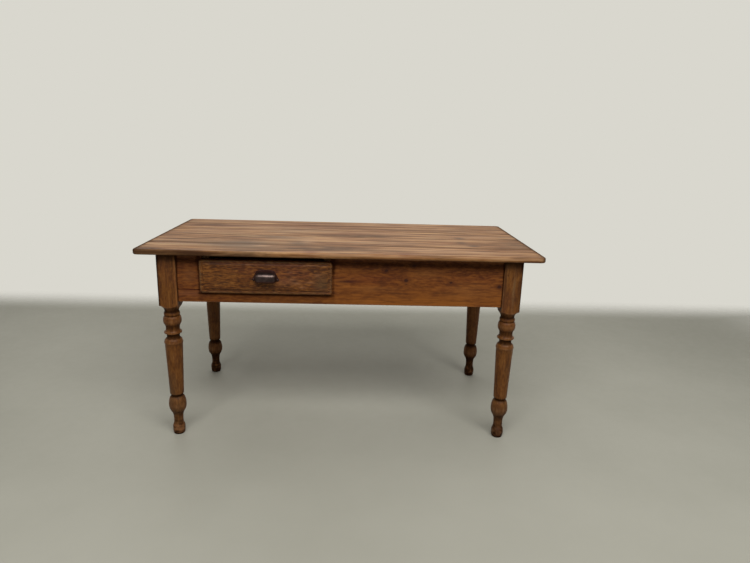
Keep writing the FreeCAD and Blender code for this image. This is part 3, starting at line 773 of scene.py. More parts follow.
def turning_curve(start, end, leave, arrive, count):
    """Points along a smooth curve that leaves and arrives along the radius or the height."""
    along = {"radius": np.array([1.0, 0.0]), "height": np.array([0.0, 1.0])}
    span = end - start
    first = start + along[leave] * (span @ along[leave]) * CURVE_FULLNESS
    last = end - along[arrive] * (span @ along[arrive]) * CURVE_FULLNESS
    share = np.linspace(0, 1, count + 1)[1:, None]
    rest = 1 - share
    return rest ** 3 * start + 3 * rest ** 2 * share * first + 3 * rest * share ** 2 * last + share ** 3 * end


def turning_profile():
    """Radius and height of the turning, from the sole up to the foot of the square block."""
    points = [np.array(TURNING[0][1:3])]
    for kind, radius, height, *more in TURNING[1:]:
        start = points[-1]
        end = np.array([radius, height])
        count = int(np.clip(np.linalg.norm(end - start) / TURNING_STEP, 4, 18))
        share = np.linspace(0, 1, count + 1)[1:, None]
        if kind == "line":
            points.extend(start + (end - start) * share)
        elif kind == "bead":
            pull = 2 * np.array(more) - 0.5 * (start + end)
            points.extend((1 - share) ** 2 * start + 2 * share * (1 - share) * pull + share ** 2 * end)
        else:
            points.extend(turning_curve(start, end, more[0], more[1], count))
    return np.array(points) * MM


def block_outline(half):
    """Points round the square block, with eased arrises, and the distance of each from its arris."""
    flat = half - BLOCK_ARRIS
    side = [(half, share * flat) for share in np.linspace(-1, 1, 17)]
    bend = np.radians(np.linspace(0, 90, 5)[1:-1])
    side += [(flat + BLOCK_ARRIS * math.cos(turn), flat + BLOCK_ARRIS * math.sin(turn)) for turn in bend]
    quarter = np.array(side)
    points = []
    for turned in range(4):
        points.extend(quarter)
        quarter = np.column_stack([-quarter[:, 1], quarter[:, 0]])
    points = np.array(points)
    return points, half - np.abs(points).min(axis=1)


def leg(name, material):
    """Turned leg: the lathe profile below, the square block above, and the pommel where the two meet."""
    seed = 80 + 7 * LEGS.index(name)
    low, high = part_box(name)
    centre = (low + high) / 2
    half = (high.x - low.x) / 2
    outline, from_arris = block_outline(half)
    outward = outline * np.sign([centre.x, centre.y])
    outer = smooth((outward[:, 0] - half + 14 * MM) / (10 * MM))
    inner = smooth((-outward.min(axis=1) - half + 2 * MM) / (1.5 * MM))
    turn = np.arctan2(outline[:, 1], outline[:, 0])
    reach = np.hypot(outline[:, 0], outline[:, 1])
    around = np.column_stack([np.cos(turn), np.sin(turn)])
    rings = []
    wear_and_highlight = []
    dirt_and_shade = []

    def add_ring(flat, height, worn, soiled_and_shaded):
        """Ring of points with its marks of wear and painted light, and of dirt and painted shade."""
        rings.append(np.column_stack([flat, np.broadcast_to(height, len(turn))]))
        wear_and_highlight.append(np.broadcast_to(worn, len(turn)))
        dirt_and_shade.append(np.broadcast_to(soiled_and_shaded, len(turn)))

    profile = turning_profile()
    neck = profile[-1]
    spread = np.abs(profile[:, None, 1] - profile[None, :, 1])
    hull = np.where(spread < GROOVE_REACH, profile[None, :, 0], 0.0).max(axis=1)
    sunk = np.clip((hull - profile[:, 0] - 1.5 * MM) / (8 * MM), 0, 1)
    proud = np.clip(1 - (hull - profile[:, 0]) / (1.2 * MM), 0, 1)
    slope = np.gradient(profile[:, 0]) / np.maximum(np.gradient(profile[:, 1]), 0.1 * MM)
    shaded = np.clip(slope, 0, 1)
    lit = np.clip(-slope, 0, 1)
    # Painted light and shade on the turning: grooves get dirt and painted shade, undersides of bulges and the
    # neck under the pommel
    # get painted shade, crests get wear and a painted highlight, and slopes facing up get painted light.
    for (radius, height), depth, crest, under, over in zip(profile, sunk, proud, shaded, lit):
        size = radius - uneven(TURNING_WEAR, seed, TURNING_WAVES, turn * radius, height)
        blotch = 0.4 + 0.5 * waves(seed + 5, FOOT_WAVES, turn * radius, height)
        low_down = blotch * smooth(1 - height / FOOT_TOP) + bell(height, *SOLE_DIRT)
        in_grooves = (0.25 + 0.5 * smooth((height - 110 * MM) / (60 * MM))) * depth
        soiled_and_shaded = in_grooves + UNDERCUT_SHADE * under + low_down + bell(neck[1] - height, *NECK_SHADE)
        add_ring(size[:, None] * around, height, max(CREST_RUB_AND_HIGHLIGHT * crest, SLOPE_LIGHT * over), soiled_and_shaded)

    end = np.array([POMMEL_RADIUS, POMMEL_HEIGHT]) * MM
    pommel = np.vstack([neck, turning_curve(neck, end, "height", "radius", 200)])
    order = np.arange(len(pommel))
    meet = np.interp(reach, pommel[:, 0], order)
    # The pommel's cove gets painted shade, darkest low down by the neck.
    for share in np.linspace(0, 1, 13)[1:]:
        radius = np.interp(meet * share, order, pommel[:, 0])
        height = np.interp(meet * share, order, pommel[:, 1])
        add_ring(radius[:, None] * around, height, 0.5 * smooth(share * 4 - 3), 1 - share)

    foot = rings[-1][:, 2]
    # On the block: dirt on the outer arrises, painted shade and dirt on the inner faces, and painted shade at
    # the top from the table top's overhang.
    arris_rub = (1 - outer) * bell(from_arris, *ARRIS_RUB)
    side_dirt_and_shade = outer * bell(from_arris, *OUTER_DIRT) + INNER_SHADE_AND_DIRT * inner
    for share in np.concatenate([[0.006, 0.02], np.linspace(0.05, 1, 22)]):
        height = foot + (high.z - foot) * share
        worn = uneven(BLOCK_WEAR, seed + 3, BLOCK_WAVES, outline[:, 0] * 2, outline[:, 1] * 2, height)
        keep = 1 - worn / (2 * half) * smooth(share / 0.05)
        bared = np.maximum(arris_rub, 0.6 * np.exp(-(height - foot) / (5 * MM)))
        soiled_and_shaded = bell(high.z - height, *BLOCK_TOP_SHADE) + side_dirt_and_shade
        add_ring(outline * keep[:, None], height, bared, soiled_and_shaded)

    points = np.array(rings) + np.array([centre.x, centre.y, 0.0])
    # The back legs get painted shade all over, since they stand in the table's shadow.
    base_shade = BACK_LEG_SHADE if centre.y > 0 else 0.0
    dirt_and_shade = np.clip(base_shade + np.array(dirt_and_shade), 0.0, 1.0)
    return make_piece(name, points, loft_faces(*points.shape[:2]), wear_and_highlight, dirt_and_shade, material)


# Aprons

def leg_gap(axis):
    """Half the clear span between the inner faces of two legs along X or Y."""
    low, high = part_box("leg_front_right")
    return low.x if axis == "X" else -high.y


def apron_panel(name, outward, material, u, v, kept, edge, cut=0.0, soil_and_shadow=0.0):
    """Apron board between its shoulders, with eased arrises, planed hollows, darkened joints and painted
    shade under the table top.
    """
    low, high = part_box(name)
    planed = uneven(APRON_WEAR, 130 + len(name), APRON_WAVES, u * 0.35, v * 1.6)
    rear = edge_drop(edge, APRON_ARRIS)
    face = rear + planed * smooth(edge / PLANED_REACH) + cut
    from_end = np.minimum(u - u[0, 0], u[-1, 0] - u)
    from_top = v[0, -1] - v
    wear_and_highlight = bell(edge, *LOWER_RUB)
    # Painted shade of the table top's overhang: a band about 25 mm below the top edge and a fainter darkening
    # of the upper part.
    under_top = bell(from_top, *UNDER_TOP_SHADE) + UPPER_SHADE * smooth((UPPER_REACH - from_top) / UPPER_FADE)
    dirt_and_shade = np.clip(bell(from_end, *SHOULDER_DIRT) + under_top + soil_and_shadow + smooth(cut / MM), 0.0, 1.0)
    thick = outward.index(max(outward, key=abs))
    sheets = []
    for sunk, side in ((face, outward[thick]), (rear, -outward[thick])):
        place = [u, u, v]
        place[thick] = high[thick] - sunk if side > 0 else low[thick] + sunk
        sheets.append(np.stack(place, axis=-1))
    faces = slab_faces(*u.shape, kept)
    return make_piece(name, sheets, faces, [wear_and_highlight, wear_and_highlight], [dirt_and_shade, dirt_and_shade], material)


def plain_apron(name, outward, step, material):
    """Apron of one plain deep board, at the back or across an end."""
    low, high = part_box(name)
    span = leg_gap("X" if outward[1] else "Y")
    along = stations(-span, span, END_STEPS, END_STEPS, step)
    up = stations(low.z, high.z, ARRIS_STEPS, END_STEPS, APRON_ROW)
    u, v = np.meshgrid(along, up, indexing="ij")
    kept = np.ones((len(along) - 1, len(up) - 1), bool)
    return apron_panel(name, outward, material, u, v, kept, v - low.z)


def front_apron(material):
    """Front apron with the drawer's notch, a crack at its lower left corner, a painted shadow about the lip
    and a darker rail below it.
    """
    low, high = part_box("front_apron")
    lip_low, lip_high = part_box("drawer_front")
    span = leg_gap("X")
    left = stations(-span, NOTCH_LEFT, END_STEPS, ARRIS_STEPS, 6 * MM)
    middle = stations(NOTCH_LEFT, NOTCH_RIGHT, ARRIS_STEPS, ARRIS_STEPS, 10 * MM)
    right = stations(NOTCH_RIGHT, span, ARRIS_STEPS, END_STEPS, 8 * MM)
    along = np.concatenate([left, middle[1:], right[1:]])
    below = stations(low.z, NOTCH_FLOOR, ARRIS_STEPS, ARRIS_STEPS, 3 * MM)
    crack = NOTCH_FLOOR + np.arange(1, CRACK_ROWS + 1) * CRACK_ROW
    above = stations(crack[-1], high.z, CRACK_STEPS, END_STEPS, APRON_ROW)
    up = np.concatenate([below, crack, above[1:]])
    middles = (along[1:] + along[:-1]) / 2
    heights = (up[1:] + up[:-1]) / 2
    in_notch = (middles > NOTCH_LEFT) & (middles < NOTCH_RIGHT)
    kept = ~(in_notch[:, None] & (heights > NOTCH_FLOOR)[None, :])
    u, v = np.meshgrid(along, up, indexing="ij")
    left_of_notch = u < NOTCH_LEFT

    aside = np.maximum(np.maximum(NOTCH_LEFT - u, u - NOTCH_RIGHT), 0.0)
    from_notch = np.hypot(aside, np.maximum(NOTCH_FLOOR - v, 0.0))
    edge = np.minimum(v - low.z, from_notch)

    line = CRACK_HEIGHT + 0.7 * MM * waves(5, CRACK_WAVES, u)
    width = CRACK_WIDTH * (0.35 + 0.65 * smooth((u + span) / (NOTCH_LEFT + span)))
    cut = left_of_notch * CRACK_DEPTH * smooth(1.4 - np.abs(v - line) / (0.5 * width))

    aside = np.maximum(lip_low.x - u, u - lip_high.x)
    under = lip_low.z - v
    outside = np.hypot(np.maximum(aside, 0.0), np.maximum(under, 0.0))
    from_lip = np.where(outside > 0, outside, np.maximum(aside, under))
    # The rail under the drawer is darker; the marks about the lip are a painted shadow of the lip, broad and
    # as a thin line just outside it.
    by_rail = RAIL_DARKENING * smooth(under / (4 * MM)) * smooth(1 - aside / (30 * MM))
    lip_shadow = bell(from_lip, *LIP_SHADOW) + bell(from_lip, *LIP_SHADOW_LINE)
    by_crack = left_of_notch * bell(v - CRACK_HEIGHT, *CRACK_DIRT)
    soil_and_shadow = by_rail + lip_shadow + by_crack
    return apron_panel("front_apron", (0, -1), material, u, v, kept, edge, cut, soil_and_shadow)


# Drawer front

def front_loop(low, high, inset):
    """Points round the drawer front at an inset from its outline, with the corners drawn in to match."""
    bend = max(LIP_CORNER - inset, 0.0)
    left, right = low.x + inset + bend, high.x - inset - bend
    bottom, top = low.z + inset + bend, high.z - inset - bend
    corners = np.array([(right, bottom), (right, top), (left, top), (left, bottom)])
    turns = np.radians(np.linspace(0, 90, 9))
    ring = []
    for index, corner in enumerate(corners):
        out = turns + math.radians(90 * (index - 1))
        arc = bend * np.column_stack([np.cos(out), np.sin(out)])
        shares = np.linspace(0, 1, FRONT_ROWS if index % 2 else FRONT_COLUMNS)
        before = corners[index - 1]
        ring.extend(before + (corner - before) * shares[:, None] + arc[0])
        ring.extend(corner + arc[1:-1])
    return np.array(ring)


def drawer_front(material):
    """Lipped drawer front, round at the corners, with a soft moulding about its field, worn edges and a
    painted shadow below the pull.
    """
    low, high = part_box("drawer_front")
    lip_back = low.y + FIELD_RISE + LIP_THICKNESS
    insets = MM * np.array(FRONT_STEPS)
    rings = [front_loop(low, high, inset) for inset in insets]
    count = len(rings[0])
    columns = rings[-1][:FRONT_COLUMNS, 0]
    heights = np.linspace(low.z + insets[-1], high.z - insets[-1], FRONT_ROWS)
    field = np.stack(np.meshgrid(columns, heights, indexing="ij"), axis=-1).reshape(-1, 2)
    places = np.vstack(rings + [field])
    x, z = places.T
    from_side = np.minimum(x - low.x, high.x - x)
    from_rail = np.minimum(z - low.z, high.z - z)
    edge = np.maximum(np.minimum(from_side, from_rail), 0.0)
    edge[:-len(field)] = np.minimum(edge[:-len(field)], np.repeat(insets, count))

    lip = LIP_THICKNESS - edge_drop(edge, LIP_ROUND) - 0.5 * MM * smooth((edge - 8 * MM) / (5 * MM))
    raised = smooth((edge - FIELD_INSET + 3 * MM) / (6 * MM))
    stand = lip + (lip_back - low.y - lip) * raised
    rubbed = uneven(FRONT_WEAR, 7, FRONT_WAVES, x * 0.5, z * 1.5)
    stand = stand - rubbed * (PLAIN_WEAR + bell(edge, *FIELD_WEAR)) * smooth(edge / (3 * MM))
    back = np.insert(rings[0], 1, lip_back, axis=1)
    points = np.vstack([back, np.column_stack([x, lip_back - stand, z])])
    rows = len(rings) + 1
    faces = ring_quads(0, rows, count) + grid_quads(rows * count, FRONT_COLUMNS, FRONT_ROWS)
    faces.append(tuple(range(count)))

    pull_low, pull_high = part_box("drawer_pull")
    # Painted shadow below the pull.
    aside = (2 * x - pull_low.x - pull_high.x) / (pull_high.x - pull_low.x)
    pull_shadow = np.exp(-aside ** 4) * bell(z - pull_low.z, *PULL_SHADOW)
    wear_and_highlight = np.maximum(bell(edge, *LIP_RUB), bell(edge, *FIELD_RUB))
    wear_and_highlight = np.concatenate([np.zeros(count), wear_and_highlight])
    dirt_and_shade = np.concatenate([np.full(count, LIP_BACK_DIRT), bell(edge, *MOULDING_DIRT) + pull_shadow])

    def join_plug(work):
        """Weld the face's grid and add the part behind the lip."""
        bmesh.ops.remove_doubles(work, verts=work.verts, dist=0.002 * MM)
        part = plug_mesh(lip_back)
        work.from_mesh(part)
        bpy.data.meshes.remove(part)

    return make_piece(
        "drawer_front", points, faces, wear_and_highlight, dirt_and_shade, material, "drawer", join_plug
    )


def drop_small_shells(work, size):
    """Delete loose shells smaller than a size, such as the ends of screw holes."""
    left = set(work.faces)
    small = set()
    while left:
        todo = [left.pop()]
        shell = set(todo)
        while todo:
            for edge in todo.pop().edges:
                joined = left.intersection(edge.link_faces)
                left -= joined
                shell |= joined
                todo.extend(joined)
        places = np.array([vert.co for face in shell for vert in face.verts])
        if np.ptp(places, axis=0).max() < size:
            small |= shell
    bmesh.ops.delete(work, geom=[face for face in work.faces if face in small], context="FACES")


def plug_mesh(lip_back):
    """Part of the drawer front behind the lip, with its dovetail sockets and panel groove."""
    plug = bmesh.new()
    plug.from_mesh(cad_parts["drawer_front"].data)
    bmesh.ops.remove_doubles(plug, verts=plug.verts, dist=0.001 * MM)
    whole = list(plug.verts) + list(plug.edges) + list(plug.faces)
    cut = lip_back + PLUG_OVERLAP
    bmesh.ops.bisect_plane(plug, geom=whole, plane_co=(0, cut, 0), plane_no=(0, 1, 0), clear_inner=True)
    drop_small_shells(plug, SMALL_SHELL)
    rim = [edge for edge in plug.edges if edge.is_boundary]
    bmesh.ops.holes_fill(plug, edges=rim)
    for vert in plug.verts:
        if vert.co.y < cut + 0.01 * MM:
            vert.co.y = lip_back - PLUG_OVERLAP
    part = bpy.data.meshes.new("drawer_front_plug")
    plug.to_mesh(part)
    plug.free()
    return part


# Cup pull

def cup_rows(wall):
    """Open curves round the cup at rising heights, at its skin or set in by the wall."""
    low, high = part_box("drawer_pull")
    middle = (low.x + high.x) / 2
    height = CUP_HEIGHT - wall
    bend = CUP_ROUND - wall
    turns = np.radians(np.linspace(0, 90, 9))
    rise = np.concatenate([np.linspace(0, height - bend, 6)[:-1], height - bend + bend * np.sin(turns)])
    rows = []
    for z in rise:
        drawn = edge_drop(height - z, bend)
        half = CUP_HALF_WIDTH - wall - drawn
        reach = high.y - low.y - wall - drawn
        corner = max(bend - drawn, 0.05 * MM)
        flat = half - corner
        straight = reach - corner
        side = [(half, share * straight) for share in np.linspace(0, 1, 5)]
        side += [(flat + corner * math.cos(turn), straight + corner * math.sin(turn)) for turn in turns[1:-1]]
        side += [(share * flat, reach) for share in np.linspace(1, 0, 6)]
        curve = side + [(-x, y) for x, y in side[-2::-1]]
        rows.append([(middle + x, high.y - y, low.z + z) for x, y in curve])
    return np.array(rows)


def plate_outline():
    """Outline of the pull's eared plate, from its foot round by the arched top."""
    shares = np.linspace(1, -1, 13)
    arch = [(PLATE_TOP * share, PLATE_HEIGHT - PLATE_ARCH * share * share) for share in shares]
    foot = [
        (PLATE_FOOT, 0.0),
        (PLATE_EAR - 2 * MM, PLATE_EAR_RISE - 3 * MM),
        (PLATE_EAR, PLATE_EAR_RISE),
        (PLATE_EAR - 1.5 * MM, PLATE_EAR_RISE + 3 * MM),
    ]
    return foot + arch + [(-x, z) for x, z in reversed(foot)]


def drawer_pull(material):
    """Cup pull: a hollow rounded cup on an eared plate with an arched top."""
    outer = cup_rows(0.0)
    rows, columns = outer.shape[:2]
    count = rows * columns
    points = outer.reshape(-1, 3).tolist() + cup_rows(CUP_WALL).reshape(-1, 3).tolist()
    faces = grid_quads(0, rows, columns) + grid_quads(count, rows, columns)
    last = count - columns
    rim = [(column, column + 1) for column in range(columns - 1)]
    for start in range(0, last, columns):
        rim.append((start, start + columns))
        rim.append((start + columns - 1, start + 2 * columns - 1))
    rim.append((last, count - 1))
    faces += [(one, two, two + count, one + count) for one, two in rim]
    faces.append(tuple(range(last, count)))
    faces.append(tuple(reversed(range(last + count, 2 * count))))

    low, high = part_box("drawer_pull")
    middle = (low.x + high.x) / 2
    outline = plate_outline()
    plate = len(points)
    size = len(outline)
    for depth in (0.0, PLATE_THICKNESS):
        points += [(middle + x, high.y - depth, low.z + z) for x, z in outline]
    faces += ring_quads(plate, 2, size)
    faces.append(tuple(range(plate, plate + size)))
    faces.append(tuple(reversed(range(plate + size, plate + 2 * size))))

    x, y, z = np.array(points[:count]).T
    # Painted highlight along the cup's upper shoulder, brighter to the right; painted shade at the cup's
    # lower rim and inside it;
    # the plate's dark patina is its own colour.
    shoulder_highlight = bell(z - low.z, *CUP_HIGHLIGHT) * smooth((high.y - y - 6 * MM) / (8 * MM))
    wear_and_highlight = np.zeros(len(points))
    wear_and_highlight[:count] = shoulder_highlight * (0.5 + 0.4 * smooth((x - low.x) / (high.x - low.x)))
    dirt_and_shade = np.full(len(points), RIM_SHADE)
    dirt_and_shade[:count] = RIM_SHADE * smooth(1 - (z - low.z) / RIM_SHADE_REACH)
    dirt_and_shade[plate:] = PLATE_DIRT
    piece = make_piece("drawer_pull", points, faces, wear_and_highlight, dirt_and_shade, material, "drawer")
    ease_edges(piece, PLATE_ROUND, 50)
    return piece


# Small fixings

def dome(points, faces, seat, out, across, radius, height, sides):
    """Add a low domed head that stands out from its seat."""
    up = out.cross(across)
    start = len(points)
    levels = [(1.0, -HEAD_SINK)] + [(share, rise * height) for share, rise in DOME_LEVELS]
    for share, stand in levels:
        for index in range(sides):
            turn = 2 * math.pi * index / sides
            aside = across * math.cos(turn) + up * math.sin(turn)
            points.append(seat + out * stand + radius * share * aside)
    tip = len(points)
    points.append(seat + out * height)
    faces += ring_quads(start, len(levels), sides)
    faces += [(tip - sides + index, tip - sides + (index + 1) % sides, tip) for index in range(sides)]
    faces.append(tuple(reversed(range(start, start + sides))))


def tenon_pegs(material):
    """Ends of the pegs that lock the apron tenons, whittled and rubbed almost flush."""
    low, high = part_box("tenon_pegs")
    face_x = high.x - PEG_STAND
    face_y = high.y - PEG_STAND
    size = (PEG_RADIUS, PEG_STAND * 0.95, PEG_SIDES)
    points = []
    faces = []
    for z in PEG_HEIGHTS:
        for first in (-1, 1):
            for second in (-1, 1):
                seat = Vector((first * PEG_X, second * face_y, z))
                dome(points, faces, seat, Vector((0, second, 0)), Vector((1, 0, 0)), *size)
                seat = Vector((first * face_x, second * PEG_Y, z))
                dome(points, faces, seat, Vector((first, 0, 0)), Vector((0, 1, 0)), *size)
    wear_and_highlight = np.zeros(len(points))
    dirt_and_shade = np.full(len(points), 0.3)
    return make_piece("tenon_pegs", points, faces, wear_and_highlight, dirt_and_shade, material)


def cut_slot(work, centre, slant):
    """Sink a straight slot, at a slant, into the domed head about a centre."""
    turn = math.radians(slant)
    across = Vector((math.cos(turn), 0.0, math.sin(turn)))
    reach = 2 * SCREW_HEAD_RADIUS

    def from_centre(face):
        return face.calc_center_median() - centre

    for side in (-1, 1):
        near = [face for face in work.faces if from_centre(face).length < reach]
        parts = list({item for face in near for item in list(face.verts) + list(face.edges)}) + near
        place = centre + across * side * SLOT_HALF_WIDTH
        bmesh.ops.bisect_plane(work, geom=parts, plane_co=place, plane_no=across)
    slot_faces = []
    for face in work.faces:
        away = from_centre(face)
        in_slot = away.length < reach and abs(away.dot(across)) < SLOT_HALF_WIDTH
        if in_slot and away.y < -0.3 * SCREW_HEAD_HEIGHT:
            slot_faces.append(face)
    made = bmesh.ops.extrude_face_region(work, geom=slot_faces)
    sunk = [item for item in made["geom"] if isinstance(item, bmesh.types.BMVert)]
    bmesh.ops.translate(work, verts=sunk, vec=(0, SLOT_DEPTH, 0))
    bmesh.ops.delete(work, geom=[face for face in slot_faces if face.is_valid], context="FACES")


def pull_screws(material):
    """Round-headed screws of the cup pull, with their slots."""
    low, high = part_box("pull_screws")
    seat_y = low.y + SCREW_HEAD_HEIGHT
    z = (low.z + high.z) / 2
    seats = [Vector((x, seat_y, z)) for x in (low.x + SCREW_HEAD_RADIUS, high.x - SCREW_HEAD_RADIUS)]
    size = (SCREW_HEAD_RADIUS, SCREW_HEAD_HEIGHT, SCREW_SIDES)
    points = []
    faces = []
    for seat in seats:
        dome(points, faces, seat, Vector((0, -1, 0)), Vector((1, 0, 0)), *size)

    def cut_slots(work):
        """Slot both heads, each at its own slant."""
        for seat, slant in zip(seats, SCREW_SLANTS):
            cut_slot(work, seat, slant)

    wear_and_highlight = np.full(len(points), 0.1)
    dirt_and_shade = np.full(len(points), 0.4)
    return make_piece("pull_screws", points, faces, wear_and_highlight, dirt_and_shade, material, "drawer", cut_slots)


def dress_node(name, material, ease):
    """Keep a CAD node in view with its own material and lightly eased edges."""
    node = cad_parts[name]
    node.data.materials.clear()
    node.data.materials.append(material)
    weld = node.modifiers.new("weld", "WELD")
    weld.merge_threshold = 0.005 * MM
    ease_edges(node, ease, 40)


# Stage

def set_floor():
    """Pale floor that fades into the pale surround."""
    graph = new_skin("stage_floor")
    across, back, up = graph.axes()
    place = graph.vector(across, back, up)
    cloud = graph.noise(place, (0.8, 0.8), 3, 4.0)
    speck = graph.noise(place, (30.0, 30.0), 4, 3.0)
    graph.feed(graph.surface, {
        "Base Color": graph.blend_tones(cloud, ramp((0.35, 172, 170, 156), (0.65, 184, 182, 168))),
        "Roughness": graph.step(speck, 0.3, 0.7, 0.5, 0.62),
        "Specular IOR Level": 0.25,
    })
    behind = graph.step(back, *FLOOR_FADE_BACK)
    before = graph.step(graph.times(back, -1.0), *FLOOR_FADE_FRONT)
    aside = graph.step(graph.math("ABSOLUTE", across), *FLOOR_FADE_SIDE)
    fade = graph.math("MAXIMUM", graph.math("MAXIMUM", behind, before), aside)
    clear = graph.add("BsdfTransparent")
    blend = graph.add("MixShader", fade, graph.surface.outputs[0], clear.outputs[0])
    graph.feed(graph.output, {"Surface": blend.outputs[0]})

    mesh = bpy.data.meshes.new("floor")
    reach = FLOOR_FADE_SIDE[1]
    corners = [(-reach, -reach, 0), (reach, -reach, 0), (reach, reach, 0), (-reach, reach, 0)]
    mesh.from_pydata(corners, [], [(0, 1, 2, 3)])
    mesh.materials.append(graph.owner)
    floor = bpy.data.objects.new("floor", mesh)
    bpy.context.scene.collection.objects.link(floor)


def set_surround():
    """Pale surround as the camera and clear reflections see it, and a dim one that lights the table."""
    world = bpy.data.worlds.new("studio")
    bpy.context.scene.world = world
    graph = Graph(world, "World")
    seen = graph.add("Background", tone(217, 215, 206))
    around = graph.add("Background", (1.0, 0.99, 0.97, 1.0), 0.1)
    rays = graph.add("LightPath").outputs
    shown = rays["Is Camera Ray"]
    for ray in ("Is Glossy Ray", "Is Transmission Ray"):
        shown = graph.math("MAXIMUM", shown, rays[ray])
    switch = graph.add("MixShader", shown, around.outputs[0], seen.outputs[0])
    graph.feed(graph.output, {"Surface": switch.outputs[0]})


def add_lamp(name, place, target, size, power):
    """Soft rectangular lamp aimed at a point."""
    lamp = bpy.data.lights.new(name, "AREA")
    lamp.shape = "RECTANGLE"
    lamp.size, lamp.size_y = size
    lamp.energy = power
    holder = bpy.data.objects.new(name, lamp)
    holder.location = place
    aim = Vector(target) - Vector(place)
    holder.rotation_mode = "QUATERNION"
    holder.rotation_quaternion = aim.to_track_quat("-Z", "Y")
    bpy.context.scene.collection.objects.link(holder)


def set_camera():
    """Camera at the place and angle from which the picture was taken."""
    camera = bpy.data.cameras.new("camera")
    camera.lens = LENS
    camera.sensor_width = SENSOR_WIDTH
    view = bpy.data.objects.new("camera", camera)
    bpy.context.scene.collection.objects.link(view)
    right = Vector((math.cos(CAMERA_YAW), -math.sin(CAMERA_YAW), 0.0))
    level = Vector((math.sin(CAMERA_YAW), math.cos(CAMERA_YAW), 0.0))
    ahead = level * math.cos(CAMERA_PITCH) - Vector((0.0, 0.0, math.sin(CAMERA_PITCH)))
    down = ahead.cross(right)
    side = math.cos(CAMERA_ROLL) * right + math.sin(CAMERA_ROLL) * down
    up = math.sin(CAMERA_ROLL) * right - math.cos(CAMERA_ROLL) * down
    turn = Matrix((side, up, -ahead)).transposed().to_4x4()
    view.matrix_world = Matrix.Translation(CAMERA_PLACE) @ turn
    bpy.context.scene.camera = view


bpy.context.scene.view_settings.view_transform = "Standard"
set_floor()
set_surround()
add_lamp("high_front", (0.3, -2.55, 3.3), (0.0, 0.0, 0.6), (4.2, 1.6), 126.0)
add_lamp("overhead", (0.0, 0.1, 3.6), (0.0, 0.0, 0.7), (3.6, 2.6), 18.0)
add_lamp("high_back", (-0.4, 2.6, 3.2), (0.0, 0.0, 0.5), (3.6, 1.2), 24.0)
set_camera()

# Pieces in view. A stain has its centre and half size along and across the grain, its tone and its share.

BOARD_HEARTS = [(-0.34, 0.62), (-0.10, 0.66), (0.02, 0.60), (0.22, 0.64), (0.30, 0.61)]
BROWN_MARK = tone(82, 48, 27)
KNOT_MARK = tone(60, 33, 17)
GREY_MARK = tone(96, 76, 55)
PALE_MARK = tone(190, 148, 110)
GOLD_MARK = tone(166, 114, 58)
RED_MARK = tone(120, 72, 44)
TOP_STAINS = [
    ((-0.52, -0.250), (0.18, 0.070), GREY_MARK, 0.4),
    ((-0.38, -0.215), (0.15, 0.065), tone(78, 60, 43), 0.8),
    ((-0.17, -0.190), (0.04, 0.045), GREY_MARK, 0.8),
    ((-0.28, -0.300), (0.20, 0.035), GREY_MARK, 0.5),
    ((0.02, -0.300), (0.16, 0.030), GREY_MARK, 0.55),
    ((0.20, -0.145), (0.26, 0.009), BROWN_MARK, 0.75),
    ((0.12, -0.207), (0.30, 0.008), BROWN_MARK, 0.6),
    ((0.33, -0.035), (0.12, 0.012), BROWN_MARK, 0.6),
    ((-0.55, -0.010), (0.12, 0.030), BROWN_MARK, 0.35),
    ((-0.29, -0.070), (0.06, 0.030), BROWN_MARK, 0.45),
    ((0.48, -0.105), (0.022, 0.024), KNOT_MARK, 0.95),
    ((0.52, -0.168), (0.030, 0.018), KNOT_MARK, 0.95),
    ((0.49, -0.005), (0.024, 0.022), KNOT_MARK, 0.85),
    ((0.23, -0.355), (0.028, 0.026), RED_MARK, 0.95),
    ((-0.11, -0.355), (0.030, 0.024), RED_MARK, 0.8),
    ((-0.54, -0.352), (0.040, 0.018), BROWN_MARK, 0.75),
    ((-0.55, -0.300), (0.09, 0.030), GOLD_MARK, 0.6),
    ((0.40, -0.290), (0.20, 0.035), PALE_MARK, 0.6),
    ((0.58, 0.040), (0.07, 0.035), PALE_MARK, 0.5),
    ((-0.30, -0.252), (0.030, 0.008), PALE_MARK, 0.85),
    ((-0.22, 0.090), (0.12, 0.016), PALE_MARK, 0.8),
    ((-0.62, 0.085), (0.08, 0.020), PALE_MARK, 0.6),
    ((0.10, 0.075), (0.14, 0.016), PALE_MARK, 0.55),
    ((-0.14, -0.150), (0.03, 0.040), PALE_MARK, 0.6),
    ((-0.15, 0.240), (0.20, 0.080), RED_MARK, 0.55),
    ((-0.45, 0.200), (0.16, 0.050), RED_MARK, 0.35),
    ((0.25, 0.290), (0.12, 0.050), RED_MARK, 0.4),
    ((0.47, 0.235), (0.10, 0.014), PALE_MARK, 0.5),
    ((-0.69, 0.080), (0.035, 0.050), GOLD_MARK, 0.6),
]
for index, (name, heart) in enumerate(zip(BOARDS, BOARD_HEARTS)):
    low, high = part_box(name)
    near = [stain for stain in TOP_STAINS if low.y - stain[1][1] < stain[0][1] < high.y + stain[1][1]]
    top_board(name, wood(name + "_pine", TOP_PINE, "XYZ", heart, 3 + 11 * index, stains=near))

